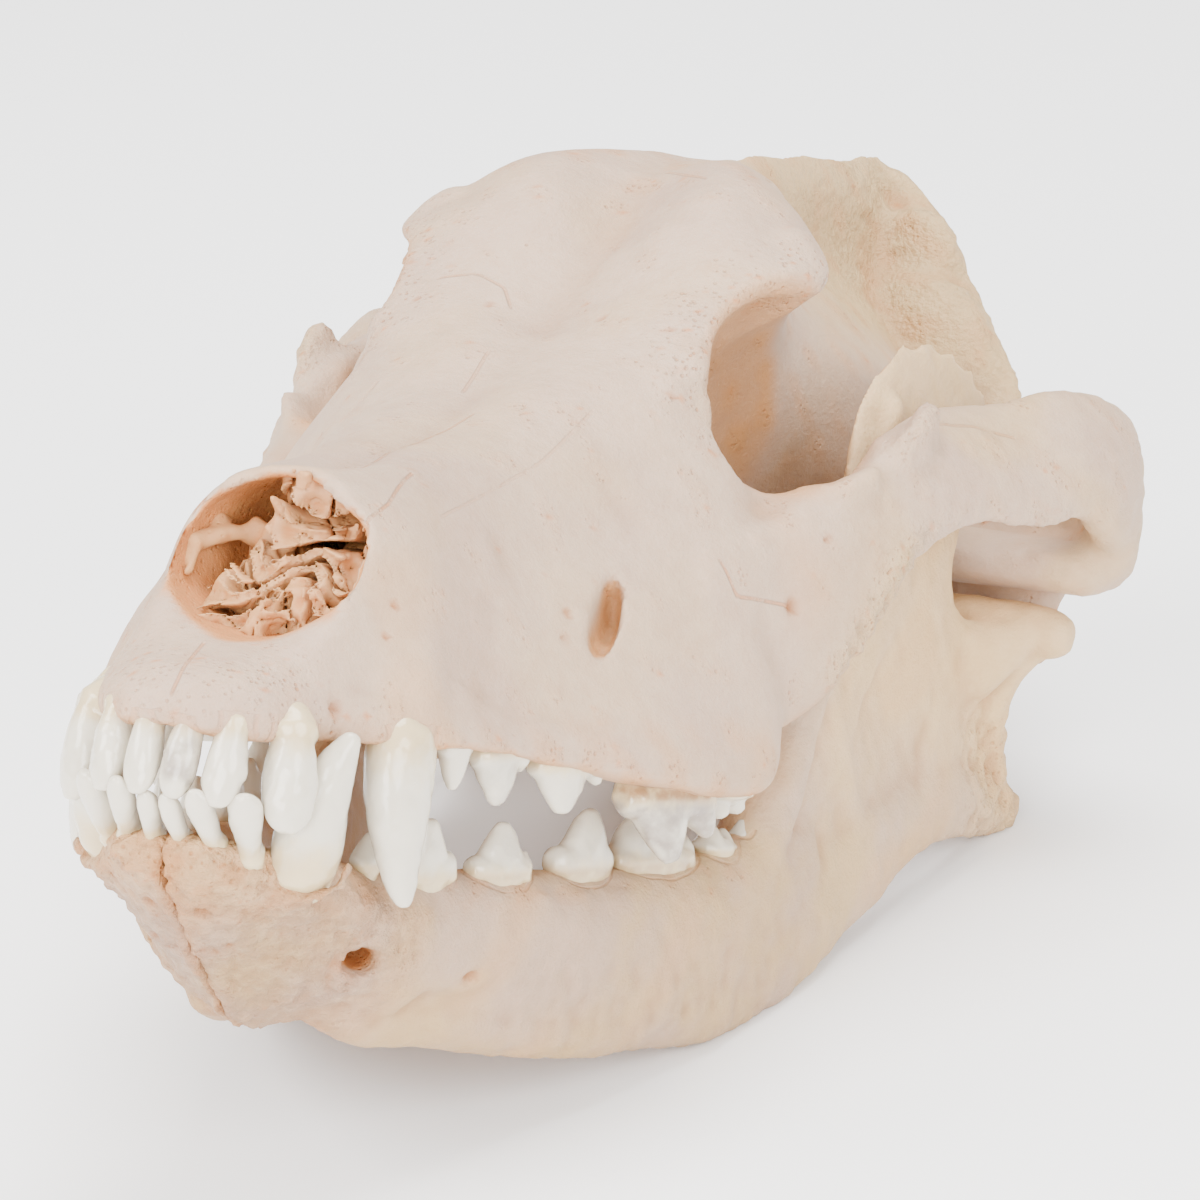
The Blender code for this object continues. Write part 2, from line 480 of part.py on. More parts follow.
# Teeth of the left side. Each has the middle of its neck, half its length and half its width there, the
# direction of the tooth row in degrees from straight back, how its root runs from the neck into the bone,
# and its cusps. A cusp is its tip, how far its foot stands from the neck's middle along the row, and half
# its length and width.
UPPER_TEETH = {
    "first_incisor": ((3.2, 0.0, 3.2), (2.7, 2.9), 82, (-0.3, 3.6, 3.0), [((2.9, -3.6, -8.5), 0, (2.7, 2.7))]),
    "second_incisor": ((9.2, 2.2, 3.4), (3.2, 3.2), 70, (-0.8, 3.6, 3.2),
                       [((9.5, -1.8, -9.0), 0.2, (3.0, 3.0)), ((12.3, 0.6, -4.8), -1.8, (1.6, 2.0))]),
    "third_incisor": ((15.8, 8.8, 2.8), (4.2, 4.0), 46, (-2.4, 3.4, 4.2), [((18.0, 5.4, -11.9), 0, (4.1, 3.9))]),
    "canine": ((23.8, 31.0, 2.6), (6.2, 4.6), 8, (-3.2, 5.0, 7.4), [((27.4, 29.9, -23.6), 0, (6.5, 4.9))]),
    "first_premolar": ((27.6, 41.8, 2.4), (3.1, 2.6), 8, (-1.4, 0.4, 3.6), [((28.2, 41.2, -6.2), 0, (3.3, 2.6))]),
    "second_premolar": ((29.8, 54.0, 0.6), (6.6, 2.9), 12, (-1.5, 0.0, 4.0),
                        [((31.0, 52.8, -8.8), -1.2, (5.4, 2.8)), ((31.6, 59.0, -3.6), 4.2, (2.4, 2.3))]),
    "third_premolar": ((34.0, 70.6, -1.2), (8.0, 3.2), 17, (-1.8, 0.0, 4.2),
                       [((35.2, 68.6, -10.4), -1.4, (6.2, 3.0)), ((37.2, 76.8, -5.8), 5.2, (2.8, 2.5))]),
    "fourth_premolar": ((42.2, 91.8, -6.2), (10.4, 4.4), 20, (-2.6, 0.0, 5.6),
                        [((45.6, 90.4, -18.0), -2.2, (6.4, 3.9)), ((47.4, 100.4, -14.0), 5.8, (4.6, 3.4)),
                         ((38.6, 83.4, -9.2), -7.4, (2.6, 2.8))]),
    "first_molar": ((42.6, 110.2, -7.0), (6.0, 7.0), 12, (-1.6, 0.0, 4.8),
                    [((47.0, 107.4, -11.4), -2.4, (3.4, 3.6)), ((47.4, 113.2, -10.8), 2.4, (3.2, 3.4)),
                     ((38.0, 110.6, -9.6), 0.6, (3.6, 3.4))]),
    "second_molar": ((38.8, 121.4, -6.2), (3.3, 4.4), 8, (-0.8, 0.0, 3.8),
                     [((41.0, 120.6, -9.8), -0.6, (2.2, 2.4)), ((36.8, 121.8, -8.8), 0.4, (2.2, 2.2))]),
}
LOWER_TEETH = {
    "first_incisor": ((2.4, 3.6, -15.4), (1.9, 2.4), 84, (0.2, 3.0, -2.6), [((1.6, -3.2, -8.0), 0, (1.7, 2.0))]),
    "second_incisor": ((7.0, 4.8, -15.4), (2.2, 2.7), 74, (0.0, 3.2, -2.8), [((6.3, -3.6, -6.6), 0, (2.1, 2.3))]),
    "third_incisor": ((11.2, 8.2, -16.4), (2.5, 3.0), 56, (-0.8, 3.2, -3.2), [((13.2, -0.6, -6.6), 0, (2.6, 2.6))]),
    "canine": ((16.2, 16.6, -18.4), (6.0, 4.5), 24, (-3.2, 5.4, -7.0), [((22.8, 16.0, 3.2), 0, (5.8, 4.7))]),
    "first_premolar": ((18.8, 33.6, -19.0), (2.8, 2.3), 14, (-0.6, 0.6, -3.2), [((19.2, 32.8, -13.4), 0, (2.8, 2.3))]),
    "second_premolar": ((22.4, 48.4, -20.8), (5.8, 2.6), 16, (-0.6, 0.0, -3.8),
                        [((23.0, 46.2, -11.4), -1.2, (4.9, 2.5)), ((23.8, 52.2, -16.8), 4.2, (2.0, 2.0))]),
    "third_premolar": ((26.6, 65.8, -21.6), (7.0, 2.9), 16, (-0.6, 0.0, -4.0),
                       [((26.6, 66.4, -12.8), 0.2, (5.8, 2.7)), ((28.4, 71.4, -17.4), 5.2, (2.0, 2.1))]),
    "fourth_premolar": ((31.0, 86.6, -21.6), (7.4, 3.3), 15, (-0.6, 0.0, -4.4),
                        [((31.8, 88.6, -11.0), 1.0, (6.0, 3.1)), ((32.8, 92.6, -16.4), 5.4, (2.1, 2.3))]),
    "first_molar": ((35.4, 107.0, -21.2), (11.0, 4.2), 13, (-0.6, 0.0, -5.2),
                    [((33.8, 100.2, -13.0), -5.8, (5.0, 3.4)), ((34.8, 107.4, -9.2), 0.8, (5.4, 3.8)),
                     ((36.8, 115.0, -16.0), 7.2, (3.2, 3.2))]),
    "second_molar": ((39.2, 124.2, -19.0), (4.3, 3.4), 11, (-0.4, 0.0, -3.8),
                     [((38.8, 122.6, -15.0), -1.4, (2.6, 3.0)), ((39.4, 126.2, -15.6), 1.6, (2.2, 2.6))]),
    "third_molar": ((40.4, 132.2, -17.2), (2.3, 2.2), 10, (-0.4, 0.0, -3.4), [((40.4, 132.2, -14.4), 0, (2.2, 2.1))]),
}


def row_direction(degrees):
    """Where the tooth row runs at a tooth: straight back is 0, and 90 is towards the middle at the front."""
    return np.array([math.sin(math.radians(degrees)), math.cos(math.radians(degrees)), 0.0])


def cusp(foot, tip, size, run, bow_mm):
    """One cusp, from its foot to its rounded tip, bowed forwards by bow_mm where it is long."""
    foot = np.asarray(foot, float)
    tip = np.asarray(tip, float)
    shares = [(0.0, 0.94), (0.2, 1.0), (0.45, 0.84), (0.68, 0.6), (0.86, 0.38), (0.97, 0.2)]
    path = [foot + (tip - foot) * share - run * bow_mm * 4 * share * (1 - share) for share, _ in shares]
    sizes = [(size[1] * grow, size[0] * grow) for _, grow in shares]
    pieces = max(8, int(np.linalg.norm(tip - foot)))
    return roll(path, sizes, up=tuple(run), sides=12, pieces=pieces)


def tooth_clay(spec):
    """An oval root that narrows into the bone, and the cusps that stand on it."""
    neck, half, row, root, cusps = spec
    neck = np.asarray(neck, float)
    run = row_direction(row)
    path = [neck + np.array(root) * share for share in (-0.15, 0.25, 1.0)]
    sizes = [(half[1] * share, half[0] * share) for share in (0.94, 0.84, 0.52)]
    shapes = [roll(path, sizes, up=tuple(run), sides=12, pieces=6)]
    bow_mm = CANINE_BOW_MM if is_canine(spec) else 0.0
    for tip, shift, size in cusps:
        shapes.append(cusp(neck + run * shift, tip, size, run, bow_mm))
    return shapes


def socket_clay(spec):
    """The hole for one root, wider than it all round, and open on the crown's side."""
    neck, half, row, root, _ = spec
    neck = np.asarray(neck, float)
    run = row_direction(row)
    deeper = 1 + SOCKET_GAP_MM / np.linalg.norm(root)
    path = [neck + np.array(root) * share for share in (-0.9, 0.0, deeper)]
    wider = SOCKET_GAP_MM + 0.3
    sizes = [(half[1] * share + wider, half[0] * share + wider) for share in (1.35, 1.14, 0.62)]
    return roll(path, sizes, up=tuple(run), sides=7, pieces=3)


def is_canine(spec):
    return abs(spec[3][2]) >= CANINE_ROOT_MM


def tooth_triangles(spec):
    if is_canine(spec):
        return CANINE_TRIANGLES
    return INCISOR_TRIANGLES if len(spec[4]) == 1 else CHEEK_TOOTH_TRIANGLES


def floor_cutter(home):
    """A block up to the surface the skull stands on, which takes a shaving off the jaw's four low places."""
    clay = bmesh.new()
    placed = Matrix.Translation((0, 0, -0.05)) @ Matrix.Diagonal((0.4, 0.6, 0.1, 1))
    bmesh.ops.create_cube(clay, size=1, matrix=placed)
    mesh = bpy.data.meshes.new("floor")
    clay.to_mesh(mesh)
    clay.free()
    obj = bpy.data.objects.new("floor", mesh)
    home.objects.link(obj)
    obj.hide_render = True
    obj.display_type = "WIRE"
    return obj


def other_half(side, home, frame):
    """A block over the other half of the jaw and the gap at its middle."""
    far, near = (-60, SYMPHYSIS_GAP_MM / 2) if side == "left" else (-SYMPHYSIS_GAP_MM / 2, 60)
    block = bmesh.new()
    size = (abs(near - far), 120, 90, 1)
    placed = Matrix.Translation(((far + near) / 2, 30, -30)) @ Matrix.Diagonal(size)
    bmesh.ops.create_cube(block, size=1, matrix=placed)
    shape = [tuple(v.co) for v in block.verts], [tuple(v.index for v in f.verts) for f in block.faces]
    block.free()
    return cutter_object(f"beyond_{side}_half", [shape], home, frame)


def build():
    clear_scene()
    skull = collection("great_dane_skull")
    cutters = collection("cutters")
    standing = bpy.data.objects.new("standing", None)
    skull.objects.link(standing)
    standing.rotation_euler = (-math.radians(NOSE_UP_DEG), 0, 0)
    standing.location = (0, STANDING_BACK_MM * MM, STANDING_UP_MM * MM)
    hinge = bpy.data.objects.new("jaw_hinge", None)
    skull.objects.link(hinge)
    hinge.parent = standing
    hinge.location = (0, HINGE_Y_MM * MM, HINGE_Z_MM * MM)

    bone = finish("cream bone", (0.80, 0.72, 0.64), 0.62)
    jaw_bone = finish("jaw bone", (0.80, 0.70, 0.58), 0.62)
    enamel = finish("tooth enamel", (0.86, 0.84, 0.76), 0.18)

    cranium = clay_object("cranium", cranium_clay(), skull, standing)
    fuse(cranium, CRANIUM_GRAIN_MM)
    for name, shapes in cranium_cutters().items():
        cut(cranium, cutter_object(name, shapes, cutters, standing, grain_mm=1.2))
    fuse(cranium, CRANIUM_GRAIN_MM, soften=4)
    thin(cranium, CRANIUM_TRIANGLES)
    cranium.data.materials.append(bone)

    floor = floor_cutter(cutters)
    halves = {}
    for side in ("left", "right"):
        turned = mirrored if side == "right" else (lambda shape: shape)
        obj = clay_object(f"{side}_dentary", [turned(s) for s in dentary_clay()], skull, standing)
        fuse(obj, DENTARY_GRAIN_MM)
        for name, shapes in dentary_cutters().items():
            holes = cutter_object(f"{side}_{name}", [turned(s) for s in shapes], cutters, standing, grain_mm=0.7)
            cut(obj, holes)
        fuse(obj, DENTARY_GRAIN_MM, soften=3)
        thin(obj, DENTARY_TRIANGLES)
        cut(obj, other_half(side, cutters, standing))
        cut(obj, floor)
        obj.data.materials.append(jaw_bone)
        halves[side] = obj

    for row, teeth, bones in (
        ("upper", UPPER_TEETH, {"left": cranium, "right": cranium}),
        ("lower", LOWER_TEETH, halves),
    ):
        sockets = {"left": [], "right": []}
        for tooth, spec in teeth.items():
            for side in ("left", "right"):
                shapes = tooth_clay(spec)
                hole = socket_clay(spec)
                if side == "right":
                    shapes = [mirrored(s) for s in shapes]
                    hole = mirrored(hole)
                obj = clay_object(f"{row}_{side}_{tooth}", shapes, skull, standing)
                fuse(obj, TOOTH_GRAIN_MM, soften=1)
                thin(obj, tooth_triangles(spec))
                obj.data.materials.append(enamel)
                if row == "upper":
                    hang_from(obj, hinge)
                sockets[side].append(hole)
        for side, holes in sockets.items():
            cut(bones[side], cutter_object(f"{row}_{side}_sockets", holes, cutters, standing), overlapping=True)
    hang_from(cranium, hinge)


def hang_from(obj, hinge):
    """Parents a piece to the hinge and leaves it where it is."""
    obj.parent = hinge
    obj.location = -hinge.location


if __name__ == "__main__":
    build()
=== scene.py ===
"""Great dane skull over its solid model: bone, teeth, the scroll bones of the nose, and a studio stage.

The bones are modelled in the skull's own frame, in millimetres: x to the animal's left, y backwards from the
front of the upper jaw, z upwards from the line of the upper tooth sockets. Each finished mesh is then tipped
nose up and shifted to stand on its lower jaw.
"""

import math

import bmesh
import bpy
import numpy as np
from mathutils import Matrix, Vector


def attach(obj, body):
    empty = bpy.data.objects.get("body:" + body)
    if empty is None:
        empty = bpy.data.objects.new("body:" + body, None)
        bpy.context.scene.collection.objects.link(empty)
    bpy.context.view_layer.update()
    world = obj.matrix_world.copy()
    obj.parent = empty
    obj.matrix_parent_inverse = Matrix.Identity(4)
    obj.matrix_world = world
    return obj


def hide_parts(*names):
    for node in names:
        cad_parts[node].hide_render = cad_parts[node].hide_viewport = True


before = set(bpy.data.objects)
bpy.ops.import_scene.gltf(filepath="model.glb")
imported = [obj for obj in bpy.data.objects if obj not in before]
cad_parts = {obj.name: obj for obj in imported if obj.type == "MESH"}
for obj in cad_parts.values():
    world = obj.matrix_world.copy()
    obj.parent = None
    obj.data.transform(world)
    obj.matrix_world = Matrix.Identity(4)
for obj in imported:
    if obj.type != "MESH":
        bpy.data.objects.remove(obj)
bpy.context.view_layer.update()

bl_info = {
    "name": "Great Dane Skull",
    "version": (1, 0, 0),
    "blender": (4, 5, 0),
    "location": "3D View > Sidebar > Skull",
    "description": "Bones and teeth of a great dane's skull",
    "category": "Object",
}

MM = 0.001

# The lower jaw's hinge in the skull's frame, and the radius of its condyles.
HINGE_Y_MM = 214.0
HINGE_Z_MM = 16.0
CONDYLE_RADIUS_MM = 5.0
CONDYLE_CLEARANCE_MM = 1.2
# How much slimmer a condyle and its room are at their ends.
CONDYLE_TAPER_MM = 0.6

# Edge of the faces of the shapes that are cut out of each bone, and of the block that halves the chin.
CRANIUM_CUT_GRAIN = 0.0009
JAW_CUT_GRAIN = 0.0006
HALVING_GRAIN = 0.002
SCROLL_CELL_MM = 0.44

# Half the width of the gap between the two dentaries.
HALF_GAP_MM = 0.05

# Depth of each bone's fine relief, in metres.
CRANIUM_RELIEF = 0.0015
JAW_RELIEF = 0.0019
SCROLL_RELIEF = 0.0003

# How much brighter the jaw's yellow bone is painted than the crest's: painted light on the jaw's blade,
# which faces the light.
BLADE_PAINTED_LIGHT = 1.25


def length_property(name, description, default):
    return bpy.props.FloatProperty(
        name=name, description=description, default=default, subtype="DISTANCE", unit="LENGTH",
    )


class SkullSizes(bpy.types.PropertyGroup):
    """Sizes of the skull's finish, and how it stands."""

    nose_up: bpy.props.FloatProperty(
        name="Nose up", description="How far the skull is tipped nose up on its jaw",
        default=math.radians(17.2), subtype="ANGLE",
    )
    back: length_property("Back", "Shift from the front of the upper jaw to the middle of the skull",
                          -0.1386)
    up: length_property("Up", "Height of the front of the upper jaw over the floor before the tip", 0.0862)
    cranium_grain: length_property("Cranium grain", "Edge of the faces of the cranium", 0.00117)
    jaw_grain: length_property("Jaw grain", "Edge of the faces of each dentary", 0.00085)
    tooth_grain: length_property("Tooth grain", "Edge of the faces of a tooth", 0.00038)


def colour_property(name, description, default):
    return bpy.props.FloatVectorProperty(
        name=name, description=description, size=3, subtype="COLOR", default=default,
    )


class SkullColours(bpy.types.PropertyGroup):
    """Colours of bone and teeth."""

    pale: colour_property("Pale bone", "Clean bone of the face", (0.47, 0.335, 0.24))
    blush: colour_property("Blush", "Faint pink of the smooth bone", (0.43, 0.30, 0.22))
    cream: colour_property("Cream", "Yellower bone of the crest and the jaw's blade", (0.50, 0.345, 0.175))
    # Tan also serves as painted shade: in hollows, on faces turned down or inward, and further back among
    # the nose's scrolls.
    tan: colour_property("Tan", "Bone inside the nose and the orbits", (0.50, 0.25, 0.10))
    orange: colour_property("Orange", "Pores, seams and fine cracks", (0.46, 0.16, 0.04))
    enamel: colour_property("Enamel", "Clean crown of a tooth", (0.61, 0.553, 0.445))
    neck: colour_property("Tooth neck", "Yellow neck of a tooth", (0.58, 0.43, 0.20))
    worn: colour_property("Worn tooth", "Grey see-through look of a worn crown", (0.27, 0.22, 0.18))


def sizes():
    return bpy.context.scene.skull_sizes


def colours():
    return bpy.context.scene.skull_colours


def select_only(obj):
    bpy.ops.object.select_all(action="DESELECT")
    obj.select_set(True)
    bpy.context.view_layer.objects.active = obj


def apply_modifier(obj, kind, **values):
    select_only(obj)
    modifier = obj.modifiers.new(kind.title(), kind)
    for name, value in values.items():
        setattr(modifier, name, value)
    bpy.ops.object.modifier_apply(modifier=modifier.name)


def fuse(obj, grain, soften=0):
    """Makes one body of overlapping shapes, in even faces, and softens it."""
    apply_modifier(obj, "REMESH", mode="VOXEL", voxel_size=grain, use_smooth_shade=True)
    if soften:
        apply_modifier(obj, "SMOOTH", factor=0.5, iterations=soften)


def cut(obj, shapes, grain):
    """Takes shapes out of a body."""
    cutter = clay_object("cutter", shapes)
    fuse(cutter, grain, 2)
    apply_modifier(obj, "BOOLEAN", operation="DIFFERENCE", solver="EXACT", object=cutter)
    bpy.data.objects.remove(cutter, do_unlink=True)


class Surface:
    """Points and normals of a mesh in millimetres, for modelling by moving them."""

    def __init__(self, obj):
        self.obj = obj
        self.points = np.empty(len(obj.data.vertices) * 3, np.float64)
        obj.data.vertices.foreach_get("co", self.points)
        self.points = self.points.reshape(-1, 3) / MM
        edges = np.empty(len(obj.data.edges) * 2, np.int64)
        obj.data.edges.foreach_get("vertices", edges)
        self.edges = edges.reshape(-1, 2)
        self.valence = np.bincount(self.edges.reshape(-1), minlength=len(self.points))
        self.read_normals()

    def read_normals(self):
        normals = np.empty(len(self.points) * 3, np.float64)
        self.obj.data.vertices.foreach_get("normal", normals)
        self.normals = normals.reshape(-1, 3)

    def averaged(self, values, rounds):
        """Values smoothed over the mesh by taking the mean with the neighbours, this many times."""
        values = np.asarray(values, float)
        flat = values.reshape(len(self.points), -1)
        a, b = self.edges.T
        for _ in range(rounds):
            total = flat.copy()
            for column in range(flat.shape[1]):
                total[:, column] += np.bincount(a, flat[b, column], len(flat))
                total[:, column] += np.bincount(b, flat[a, column], len(flat))
            flat = total / (self.valence + 1)[:, None]
        return flat.reshape(values.shape)

    def hollowness(self, rounds):
        """How far the surface lies below its surroundings, in millimetres."""
        return ((self.averaged(self.points, rounds) - self.points) * self.normals).sum(1)

    def move(self, heights):
        self.points += self.normals * np.asarray(heights)[:, None]
        self.write()
        self.read_normals()

    def write(self):
        self.obj.data.vertices.foreach_set("co", (self.points * MM).reshape(-1))
        self.obj.data.update()

    def paint(self, name, red, green, blue):
        """Stores three masks from 0 to 1 on the points, for the material to read."""
        layer = self.obj.data.attributes.new(name, "FLOAT_VECTOR", "POINT")
        values = np.clip(np.stack([red, green, blue], 1), 0, 1)
        layer.data.foreach_set("vector", values.astype(np.float32).reshape(-1))

    def draw_lines(self, side, strong):
        """Stores the signed distance to a line and the line's strength."""
        layer = self.obj.data.attributes.new("line", "FLOAT_VECTOR", "POINT")
        values = np.stack([np.clip(side, -6, 6), strong, np.zeros(len(side))], 1)
        layer.data.foreach_set("vector", values.astype(np.float32).reshape(-1))


def distance_to(points, path):
    """Distance from each point to a bent line, and how far along it the nearest place is, from 0 to 1."""
    path = np.asarray(path, float)
    near = np.full(len(points), np.inf)
    where = np.zeros(len(points))
    along = lengths_along(path)
    for i in range(len(path) - 1):
        run = path[i + 1] - path[i]
        share = np.clip(((points - path[i]) @ run) / max(run @ run, 1e-9), 0, 1)
        gap = np.linalg.norm(points - path[i] - share[:, None] * run, axis=1)
        closer = gap < near
        near[closer] = gap[closer]
        where[closer] = (along[i] + share[closer] * (along[i + 1] - along[i])) / along[-1]
    return near, where


def line_mask(bone, points, lines):
    """Signed distance in millimetres to the nearest of several lines drawn on the bone, and how strong that
    line is there: full along it, nothing past its ends."""
    near = np.full(len(points), 99.0)
    side = np.full(len(points), 9.0)
    strong = np.zeros(len(points))
    for path, strength in lines:
        path = np.asarray(path, float)
        gap, where = distance_to(points, path)
        along = lengths_along(path) / lengths_along(path)[-1]
        spot = np.stack([np.interp(where, along, path[:, axis]) for axis in range(3)], 1)
        ahead = np.stack([np.interp(where + 0.02, along, path[:, axis]) for axis in range(3)], 1)
        before = np.stack([np.interp(where - 0.02, along, path[:, axis]) for axis in range(3)], 1)
        across = np.cross(ahead - before, bone.normals)
        across /= np.maximum(np.linalg.norm(across, axis=1), 1e-9)[:, None]
        offset = ((points - spot) * across).sum(1)
        closer = (gap < near) & (gap < 4)
        near[closer] = gap[closer]
        side[closer] = offset[closer]
        strong[closer] = (strength * step(gap, 3.2, 2.0) * (where > 0.001) * (where < 0.999))[closer]
    return side, strong


def neck_mask(points, teeth, side, strong):
    """Adds a line round the socket of every tooth to a line mask."""
    for neck, half, row, *_ in teeth.values():
        run = row_direction(row)
        away = points - np.array(neck)
        along = away @ run
        across = away @ np.array([run[1], -run[0], 0.0])
        reach = np.sqrt((along / half[0]) ** 2 + (across / half[1]) ** 2)
        ring = (reach - 1) * (half[0] + half[1]) / 2 - 0.45
        close = (np.abs(ring) < 1.6) & (np.abs(away[:, 2]) < 2.0) & (np.abs(ring) < np.abs(side))
        side[close] = ring[close]
        strong[close] = 0.3
    return side, strong


def spread(gap, radius):
    """A soft round profile: 1 at a gap of nothing, falling to about 0 at twice the radius."""
    return np.exp(-((gap / radius) ** 2))


def step(values, start, end):
    """0 before start, 1 after end, smooth between. Start may lie above end."""
    t = np.clip((values - start) / (end - start), 0, 1)
    return t * t * (3 - 2 * t)


def waves(points, size, seed, count=16):
    """Smooth uneven waves about this size in millimetres, from -1 to 1 or so."""
    dice = np.random.default_rng(seed)
    directions = dice.normal(size=(count, 3))
    directions /= np.linalg.norm(directions, axis=1)[:, None]
    directions *= 2 * math.pi / (size * dice.uniform(0.7, 1.6, count))[:, None]
    phases = dice.uniform(0, 2 * math.pi, count)
    return np.sin(points @ directions.T + phases).sum(1) * math.sqrt(2 / count)


def left_right(points):
    """The points with the right side laid over the left."""
    folded = points.copy()
    folded[:, 0] = np.abs(folded[:, 0])
    return folded


def stand_up(obj):
    """Puts a mesh from the skull's frame where the skull stands."""
    placed = Matrix.Translation((0, sizes().back, sizes().up)) @ Matrix.Rotation(-sizes().nose_up, 4, "X")
    obj.data.transform(placed)
    obj.data.update()


def hand_over(obj, body, nodes, material):
    obj.data.materials.clear()
    obj.data.materials.append(material)
    for face in obj.data.polygons:
        face.use_smooth = True
    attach(obj, body)
    if nodes:
        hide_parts(*nodes)


def smooth_between(keys, values, at):
    """Values read off the smooth curve through the given keys, as a spline bent along them would give."""
    keys = np.asarray(keys, float)
    values = np.asarray(values, float)
    values = values.reshape(len(keys), -1)
    step = np.diff(keys)[:, None]
    rise = np.diff(values, axis=0) / step
    slope = np.empty_like(values)
    slope[0] = rise[0]
    slope[-1] = rise[-1]
    slope[1:-1] = (rise[:-1] * step[1:] + rise[1:] * step[:-1]) / (step[1:] + step[:-1])
    index = np.clip(np.searchsorted(keys, at, side="right") - 1, 0, len(keys) - 2)
    width = step[index]
    t = (np.asarray(at)[:, None] - keys[index][:, None]) / width
    return (
        values[index] * (2 * t**3 - 3 * t**2 + 1)
        + slope[index] * width * (t**3 - 2 * t**2 + t)
        + values[index + 1] * (3 * t**2 - 2 * t**3)
        + slope[index + 1] * width * (t**3 - t**2)
    )


def lengths_along(points):
    steps = np.linalg.norm(np.diff(np.asarray(points, float), axis=0), axis=1)
    return np.concatenate([[0], np.cumsum(np.maximum(steps, 1e-6))])


def skin(rings):
    """A closed tube through rings of equal count, with a point in the middle of each end."""
    count = len(rings[0])
    points = [tuple(p) for ring in rings for p in ring]
    faces = []
    for i in range(len(rings) - 1):
        for j in range(count):
            k = (j + 1) % count
            faces.append((i * count + j, i * count + k, (i + 1) * count + k, (i + 1) * count + j))
    for ring, first in ((rings[0], 0), (rings[-1], (len(rings) - 1) * count)):
        middle = len(points)
        points.append(tuple(np.mean(ring, axis=0)))
        for j in range(count):
            k = (j + 1) % count
            faces.append((middle, first + k, first + j) if first == 0 else (middle, first + j, first + k))
    return points, faces


def roll(path, sizes, up=(0, 0, 1), sides=26, pieces=48, square=1.0):
    """A rounded roll along a smooth path. Each size is its half width and half height there. The height
    points along up, which is one direction or one for each point of the path."""
    path = np.asarray(path, float)
    sizes = np.asarray(sizes, float).reshape(len(path), 2)
    along = lengths_along(path)
    at = np.linspace(0, along[-1], pieces)
    centre = smooth_between(along, path, at)
    size = np.maximum(smooth_between(along, sizes, at), 0.2)
    tangent = np.gradient(centre, axis=0)
    tangent /= np.linalg.norm(tangent, axis=1)[:, None]
    ups = np.broadcast_to(np.asarray(up, float), path.shape)
    across = np.cross(tangent, smooth_between(along, ups, at))
    across /= np.linalg.norm(across, axis=1)[:, None]
    over = np.cross(across, tangent)
    angle = np.linspace(0, 2 * math.pi, sides, endpoint=False)
    wide = np.sign(np.cos(angle)) * np.abs(np.cos(angle)) ** square
    high = np.sign(np.sin(angle)) * np.abs(np.sin(angle)) ** square
    rings = []
    for end in (0, None, -1):
        if end is None:
            for c, s, a, o in zip(centre, size, across, over):
                rings.append(c + np.outer(wide * s[0], a) + np.outer(high * s[1], o))
            continue
        c, s, a, o = centre[end], size[end], across[end], over[end]
        out = tangent[end] * (-1 if end == 0 else 1) * min(s) * 0.6
        ring = c + out + np.outer(wide * s[0] * 0.6, a) + np.outer(high * s[1] * 0.6, o)
        rings.append(ring)
    return skin(rings)


def loft(stations, around=96, pieces=120):
    """A body that is the same on both sides. Each station is its y and the left half of its section,
    from the middle of the top, round the side, to the middle of the bottom."""
    ys = np.array([y for y, _ in stations], float)
    halves = []
    half_count = around // 2 + 1
    for _, half in stations:
        along = lengths_along(half)
        halves.append(smooth_between(along, half, np.linspace(0, along[-1], half_count)).reshape(-1))
    at = np.linspace(ys[0], ys[-1], pieces)
    rings = []
    for y, flat in zip(at, smooth_between(ys, np.array(halves), at)):
        half = flat.reshape(-1, 2)
        left = [(max(x, 0), y, z) for x, z in half]
        left[0] = (0, y, half[0][1])
        left[-1] = (0, y, half[-1][1])
        right = [(-x, y, z) for x, y, z in left[-2:0:-1]]
        rings.append(left + right)
    return skin(np.array(rings))


def ball(centre, radii, turn=(0, 0, 0)):
    """A ball stretched along its own axes, turned by three angles in degrees."""
    clay = bmesh.new()
    turned = Matrix.Rotation(math.radians(turn[2]), 4, "Z")
    turned @= Matrix.Rotation(math.radians(turn[1]), 4, "Y")
    turned @= Matrix.Rotation(math.radians(turn[0]), 4, "X")
    placed = Matrix.Translation(centre) @ turned @ Matrix.Diagonal((*radii, 1))
    bmesh.ops.create_uvsphere(clay, u_segments=32, v_segments=20, radius=1, matrix=placed)
    points = [tuple(v.co) for v in clay.verts]
    faces = [tuple(v.index for v in f.verts) for f in clay.faces]
    clay.free()
    return points, faces


def mirrored(shape):
    points, faces = shape
    return [(-x, y, z) for x, y, z in points], [tuple(reversed(f)) for f in faces]


def both(shape):
    return [shape, mirrored(shape)]


def clay_object(name, shapes):
    """One mesh of overlapping shapes, with every shape facing out."""
    clay = bmesh.new()
    for points, faces in shapes:
        corners = [clay.verts.new(Vector(p) * MM) for p in points]
        for face in faces:
            clay.faces.new([corners[i] for i in face])
    bmesh.ops.recalc_face_normals(clay, faces=clay.faces)
    mesh = bpy.data.meshes.new(name)
    clay.to_mesh(mesh)
    clay.free()
    obj = bpy.data.objects.new(name, mesh)
    bpy.context.scene.collection.objects.link(obj)
    return obj


def add_node(tree, kind, links=(), **values):
    """A shader node with its settings, and its inputs set or linked by name or number."""
    made = tree.nodes.new(kind)
    for name, value in values.items():
        setattr(made, name, value)
    for socket, source in dict(links).items():
        if isinstance(source, bpy.types.NodeSocket):
            tree.links.new(source, made.inputs[socket])
        else:
            made.inputs[socket].default_value = source
    return made


